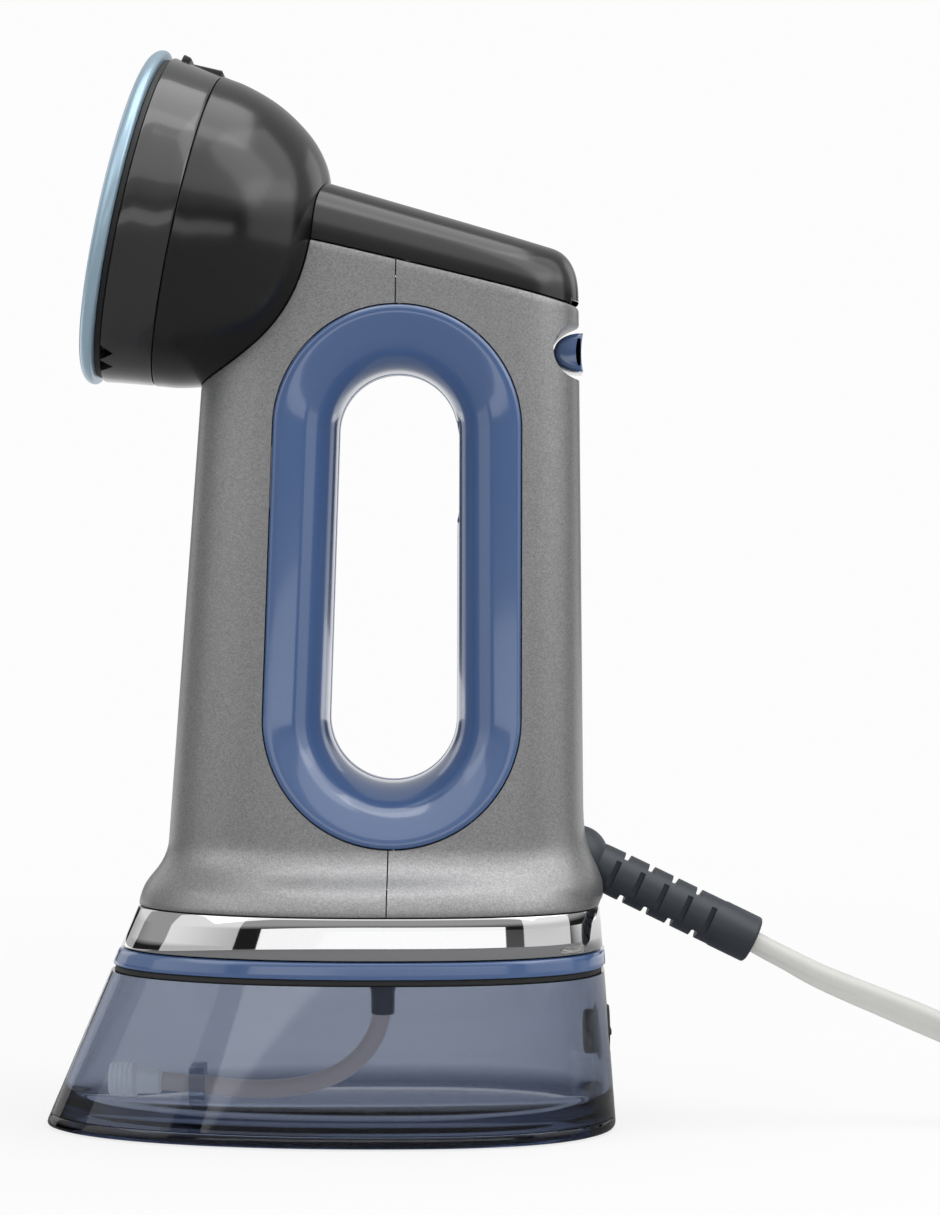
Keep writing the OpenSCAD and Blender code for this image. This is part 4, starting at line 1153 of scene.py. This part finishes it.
# %% [markdown]
# ## Silver paint
# The body's paint holds aluminium flakes under a clear coat. Each flake is a small cell with its
# own brightness and its own slight tilt, so the surface sparkles finely. A noise alone looks like
# dirt; cells look like flakes.


# %% Flakes
def build_flake_group():
    group = bpy.data.node_groups.new("paint_flakes", "ShaderNodeTree")
    socket(group, "Flakes Per Metre", "NodeSocketFloat", value=3400.0)
    socket(group, "Dark", "NodeSocketColor", value=(0.2, 0.2, 0.2, 1))
    socket(group, "Light", "NodeSocketColor", value=(0.5, 0.5, 0.5, 1))
    socket(group, "Color", "NodeSocketColor", "OUTPUT")
    socket(group, "Height", "NodeSocketFloat", "OUTPUT")
    new, link = group.nodes.new, group.links.new
    inputs, outputs = new("NodeGroupInput"), new("NodeGroupOutput")
    place, cells = new("ShaderNodeTexCoord"), new("ShaderNodeTexVoronoi")
    link(place.outputs["Object"], cells.inputs["Vector"])
    link(inputs.outputs["Flakes Per Metre"], cells.inputs["Scale"])
    parts = new("ShaderNodeSeparateColor")
    link(cells.outputs["Color"], parts.inputs["Color"])
    tone = new("ShaderNodeMix")
    tone.data_type = "RGBA"
    link(parts.outputs["Red"], tone.inputs["Factor"])
    link(inputs.outputs["Dark"], tone.inputs["A"])
    link(inputs.outputs["Light"], tone.inputs["B"])
    link(tone.outputs["Result"], outputs.inputs["Color"])
    link(parts.outputs["Green"], outputs.inputs["Height"])
    return group


def silver_paint():
    finishes["silver_paint"], tree, shader = new_material("silver_paint")
    flakes = tree.nodes.new("ShaderNodeGroup")
    flakes.node_tree = build_flake_group()
    set_values(flakes, Dark=(0.188, 0.188, 0.19, 1), Light=(0.285, 0.285, 0.289, 1))
    tree.links.new(flakes.outputs["Color"], shader.inputs["Base Color"])
    add_bump(tree, shader, flakes.outputs["Height"], 0.015, 0.3)
    set_values(shader, Metallic=0.72, Roughness=0.42, Coat_Weight=0.25, Coat_Roughness=0.22)


silver_paint()
finish("sole_blue", (0.29, 0.41, 0.50), (0.33, 0.46, 0.56), (0.28, 0.34), grain=1600, relief=0.006,
       metal=0.45, Coat_Weight=0.2, Coat_Roughness=0.2)
finish("band_chrome", grey(0.54, (1, 1, 1.01)), grey(0.58, (1, 1, 1.01)), (0.025, 0.05),
       cloud=12, metal=1.0)
print("paint, soleplate and chrome")

# %% [markdown]
# ## Clear plastics
# The tank is smoked acrylic. Its colour comes from the depth of plastic that light crosses, so the
# material absorbs inside its walls: thin walls are light, edges and the foot are darker.


# %% Smoked acrylic, silicone and lens
def clear_plastic(name, tint, depth_colour, per_metre, rough=0.03, ior=1.49):
    """A clear finish; depth_colour is what a long way through it keeps of white light."""
    finishes[name], tree, shader = new_material(name)
    lighter = [min(1, c * 1.03) for c in tint]
    use_surface(tree, shader, tint, lighter, (rough, rough + 0.02), 60, 20)
    set_values(shader, Transmission_Weight=1, IOR=ior)
    if per_metre:
        inside = tree.nodes.new("ShaderNodeVolumeAbsorption")
        set_values(inside, Color=(*depth_colour, 1), Density=per_metre)
        tree.links.new(inside.outputs["Volume"], tree.nodes["Material Output"].inputs["Volume"])


clear_plastic("tank_smoke", (0.965, 0.97, 0.985), (0.10, 0.18, 0.33), 430)
clear_plastic("foot_smoke", (0.90, 0.92, 0.96), (0.10, 0.20, 0.39), 280)
clear_plastic("clip_smoke", (0.80, 0.84, 0.90), (0.4, 0.5, 0.6), 60, rough=0.12)
clear_plastic("lens_clear", (0.9, 0.93, 0.95), (0.8, 0.8, 0.8), 0, rough=0.08)
# Painted light: the hose's faint emission stands in for lamp light that the smoked tank wall keeps
# from it.
finish("tube_silicone", (0.36, 0.33, 0.33), (0.44, 0.41, 0.41), (0.3, 0.38),
       Transmission_Weight=0.35, IOR=1.41, Emission_Color=(0.5, 0.46, 0.46, 1),
       Emission_Strength=0.28)
for piece, name in finished:
    piece.data.materials.clear()
    piece.data.materials.append(finishes[name])
print(len(finishes), "finishes;", len(finished), "pieces dressed")

# %% [markdown]
# The works inside the housing keep their CAD shapes, which are right as they are, and take the
# same finishes by the slot their record names.

# %% Dress the CAD pieces that stay
kept = 0
for part in frame["record"]["subparts"]:
    node = nodes[part["node"]]
    if not node.hide_render:
        for place in node.material_slots:
            place.material = finishes[part["material_slot"]]
        kept += 1
print(kept, "CAD pieces keep their shape")

# %% [markdown]
# ## Table and light
# A pale table and soft boxes, as in a product studio: one above, tall ones left and right, and a
# wide one behind the camera. Polished pieces show what surrounds them, so between the soft boxes
# the room is dark. That darkness draws the edges of the black head and the bands in the chrome.
# Blender also calls a ray glossy after it has passed through clear plastic. Taking the transmitted
# rays away leaves the truly mirrored ones, so the tank still shows the bright room behind it.


# %% Nodes that table and room share
def map_range(tree, source, low, high, to_low=0.0, to_high=1.0):
    """Stretches the source's values from one range to another."""
    node = tree.nodes.new("ShaderNodeMapRange")
    set_values(node, From_Min=low, From_Max=high, To_Min=to_low, To_Max=to_high)
    tree.links.new(source, node.inputs["Value"])
    return node


def calculate(tree, operation, first, second):
    node = tree.nodes.new("ShaderNodeMath")
    node.operation = operation
    tree.links.new(first, node.inputs[0])
    tree.links.new(second, node.inputs[1])
    return node


def mirrored_rays(tree, path):
    """1 for a ray that a surface mirrors, 0 for one that the camera or clear plastic sends."""
    node = calculate(tree, "SUBTRACT", path.outputs["Is Glossy Ray"],
                     path.outputs["Is Transmission Ray"])
    node.use_clamp = True
    return node


print("shared: map_range, calculate, mirrored_rays")

# %% Table
table = skin("table", [[(6000 * math.cos(a), 6000 * math.sin(a), z) for a in
                        (2 * math.pi * k / 96 for k in range(96))] for z in (-8, -0.15)])
table_finish, tree, pale = new_material("pale_table")
new, link = tree.nodes.new, tree.links.new
set_values(pale, Base_Color=(0.90, 0.90, 0.90, 1), Roughness=0.8, Specular_IOR_Level=0.1)
far_glow, dim = new("ShaderNodeEmission"), new("ShaderNodeBsdfDiffuse")
set_values(far_glow, Color=(0.98, 0.98, 0.98, 1))
set_values(dim, Color=(0.28, 0.28, 0.285, 1))
place, path = new("ShaderNodeTexCoord"), new("ShaderNodeLightPath")
reach, along = new("ShaderNodeVectorMath"), new("ShaderNodeSeparateXYZ")
reach.operation = "LENGTH"
link(place.outputs["Object"], reach.inputs[0])
link(place.outputs["Object"], along.inputs["Vector"])
fade = map_range(tree, reach.outputs["Value"], 0.12, 0.7)
fade.interpolation_type = "SMOOTHSTEP"
glowing = map_range(tree, fade.outputs["Result"], 0, 1, 0.78, 1)
near = map_range(tree, along.outputs["Y"], 0.15, 0.7, 1, 0)
lit, either = new("ShaderNodeMixShader"), new("ShaderNodeMixShader")
mirrored = mirrored_rays(tree, path)
dimmed = calculate(tree, "MULTIPLY", mirrored.outputs[0], near.outputs["Result"])
for mixer, share, first, second in ((lit, glowing, pale, far_glow), (either, dimmed, lit, dim)):
    link(share.outputs[0], mixer.inputs["Fac"])
    link(first.outputs[0], mixer.inputs[1])
    link(second.outputs[0], mixer.inputs[2])
link(either.outputs[0], tree.nodes["Material Output"].inputs["Surface"])
table.data.materials.append(table_finish)

# %% Room
world = bpy.data.worlds.new("studio")
scene.world = world
world.use_nodes = True
tree = world.node_tree
new, link = tree.nodes.new, tree.links.new
place, path = new("ShaderNodeTexCoord"), new("ShaderNodeLightPath")
split = new("ShaderNodeSeparateXYZ")
glossy, soft = new("ShaderNodeMix"), new("ShaderNodeMix")
glossy.data_type = soft.data_type = "RGBA"
soft.inputs["A"].default_value = (0.98, 0.98, 0.98, 1)
soft.inputs["B"].default_value = (0.42, 0.42, 0.42, 1)
link(place.outputs["Generated"], split.inputs["Vector"])
rise = map_range(tree, split.outputs["Z"], 0.10, 0.22, 0.02, 0.5)
behind = map_range(tree, split.outputs["Y"], 0.93, 0.99)
brighter = calculate(tree, "MAXIMUM", rise.outputs["Result"], behind.outputs["Result"])
mirrored = mirrored_rays(tree, path)
link(path.outputs["Is Diffuse Ray"], soft.inputs["Factor"])
link(soft.outputs["Result"], glossy.inputs["A"])
link(brighter.outputs[0], glossy.inputs["B"])
link(mirrored.outputs[0], glossy.inputs["Factor"])
link(glossy.outputs["Result"], tree.nodes["Background"].inputs["Color"])
scene.view_settings.view_transform = "Standard"
print("table and room")


# %% Soft boxes
def soft_box(name, place, toward, wide, tall, glow):
    """A rectangle of light; glow is how bright it looks, with 1 as paper white."""
    lamp = bpy.data.lights.new(name, "AREA")
    lamp.shape = "RECTANGLE"
    lamp.size, lamp.size_y = wide, tall
    lamp.energy = glow * math.pi * wide * tall
    box = bpy.data.objects.new(name, lamp)
    scene.collection.objects.link(box)
    box.location = place
    box.rotation_euler = (Vector(toward) - Vector(place)).to_track_quat("-Z", "Y").to_euler()
    box.visible_camera = False
    return box


def wall_box(name, heading, half, low, high, glow, away=1.5):
    """An upright box round the steamer; heading is 0 at the camera and grows toward the cord."""
    a = math.radians(heading)
    middle = (low + high) / 2
    place = (0.02 + away * math.sin(a), -away * math.cos(a), middle)
    return soft_box(name, place, (0.02, 0, middle), 2 * away * math.tan(math.radians(half)),
                    high - low, glow)


boxes = [
    soft_box("box_above", (0.05, -0.1, 1.3), (0.02, 0, 0.1), 1.2, 0.9, 2.5),
    soft_box("box_front_high", (0.0, -0.87, 1.236), (0.02, 0, 0.27), 4.4, 1.38, 1.1),
    soft_box("box_right_high", (1.05, -0.35, 1.15), (0.02, 0, 0.2), 1.4, 1.2, 1.3),
    wall_box("box_camera", 0, 37, -0.12, 0.24, 1.6),
    wall_box("box_left", -67, 21, -0.12, 1.3, 0.75),
    wall_box("box_right", 70, 22, -0.12, 1.1, 0.9),
    wall_box("box_back_left", -135, 12, -0.12, 1.1, 0.6),
    wall_box("box_back_right", 135, 12, -0.12, 1.1, 0.6),
]
bpy.data.objects["box_front_high"].visible_diffuse = False
print(len(boxes), "soft boxes")
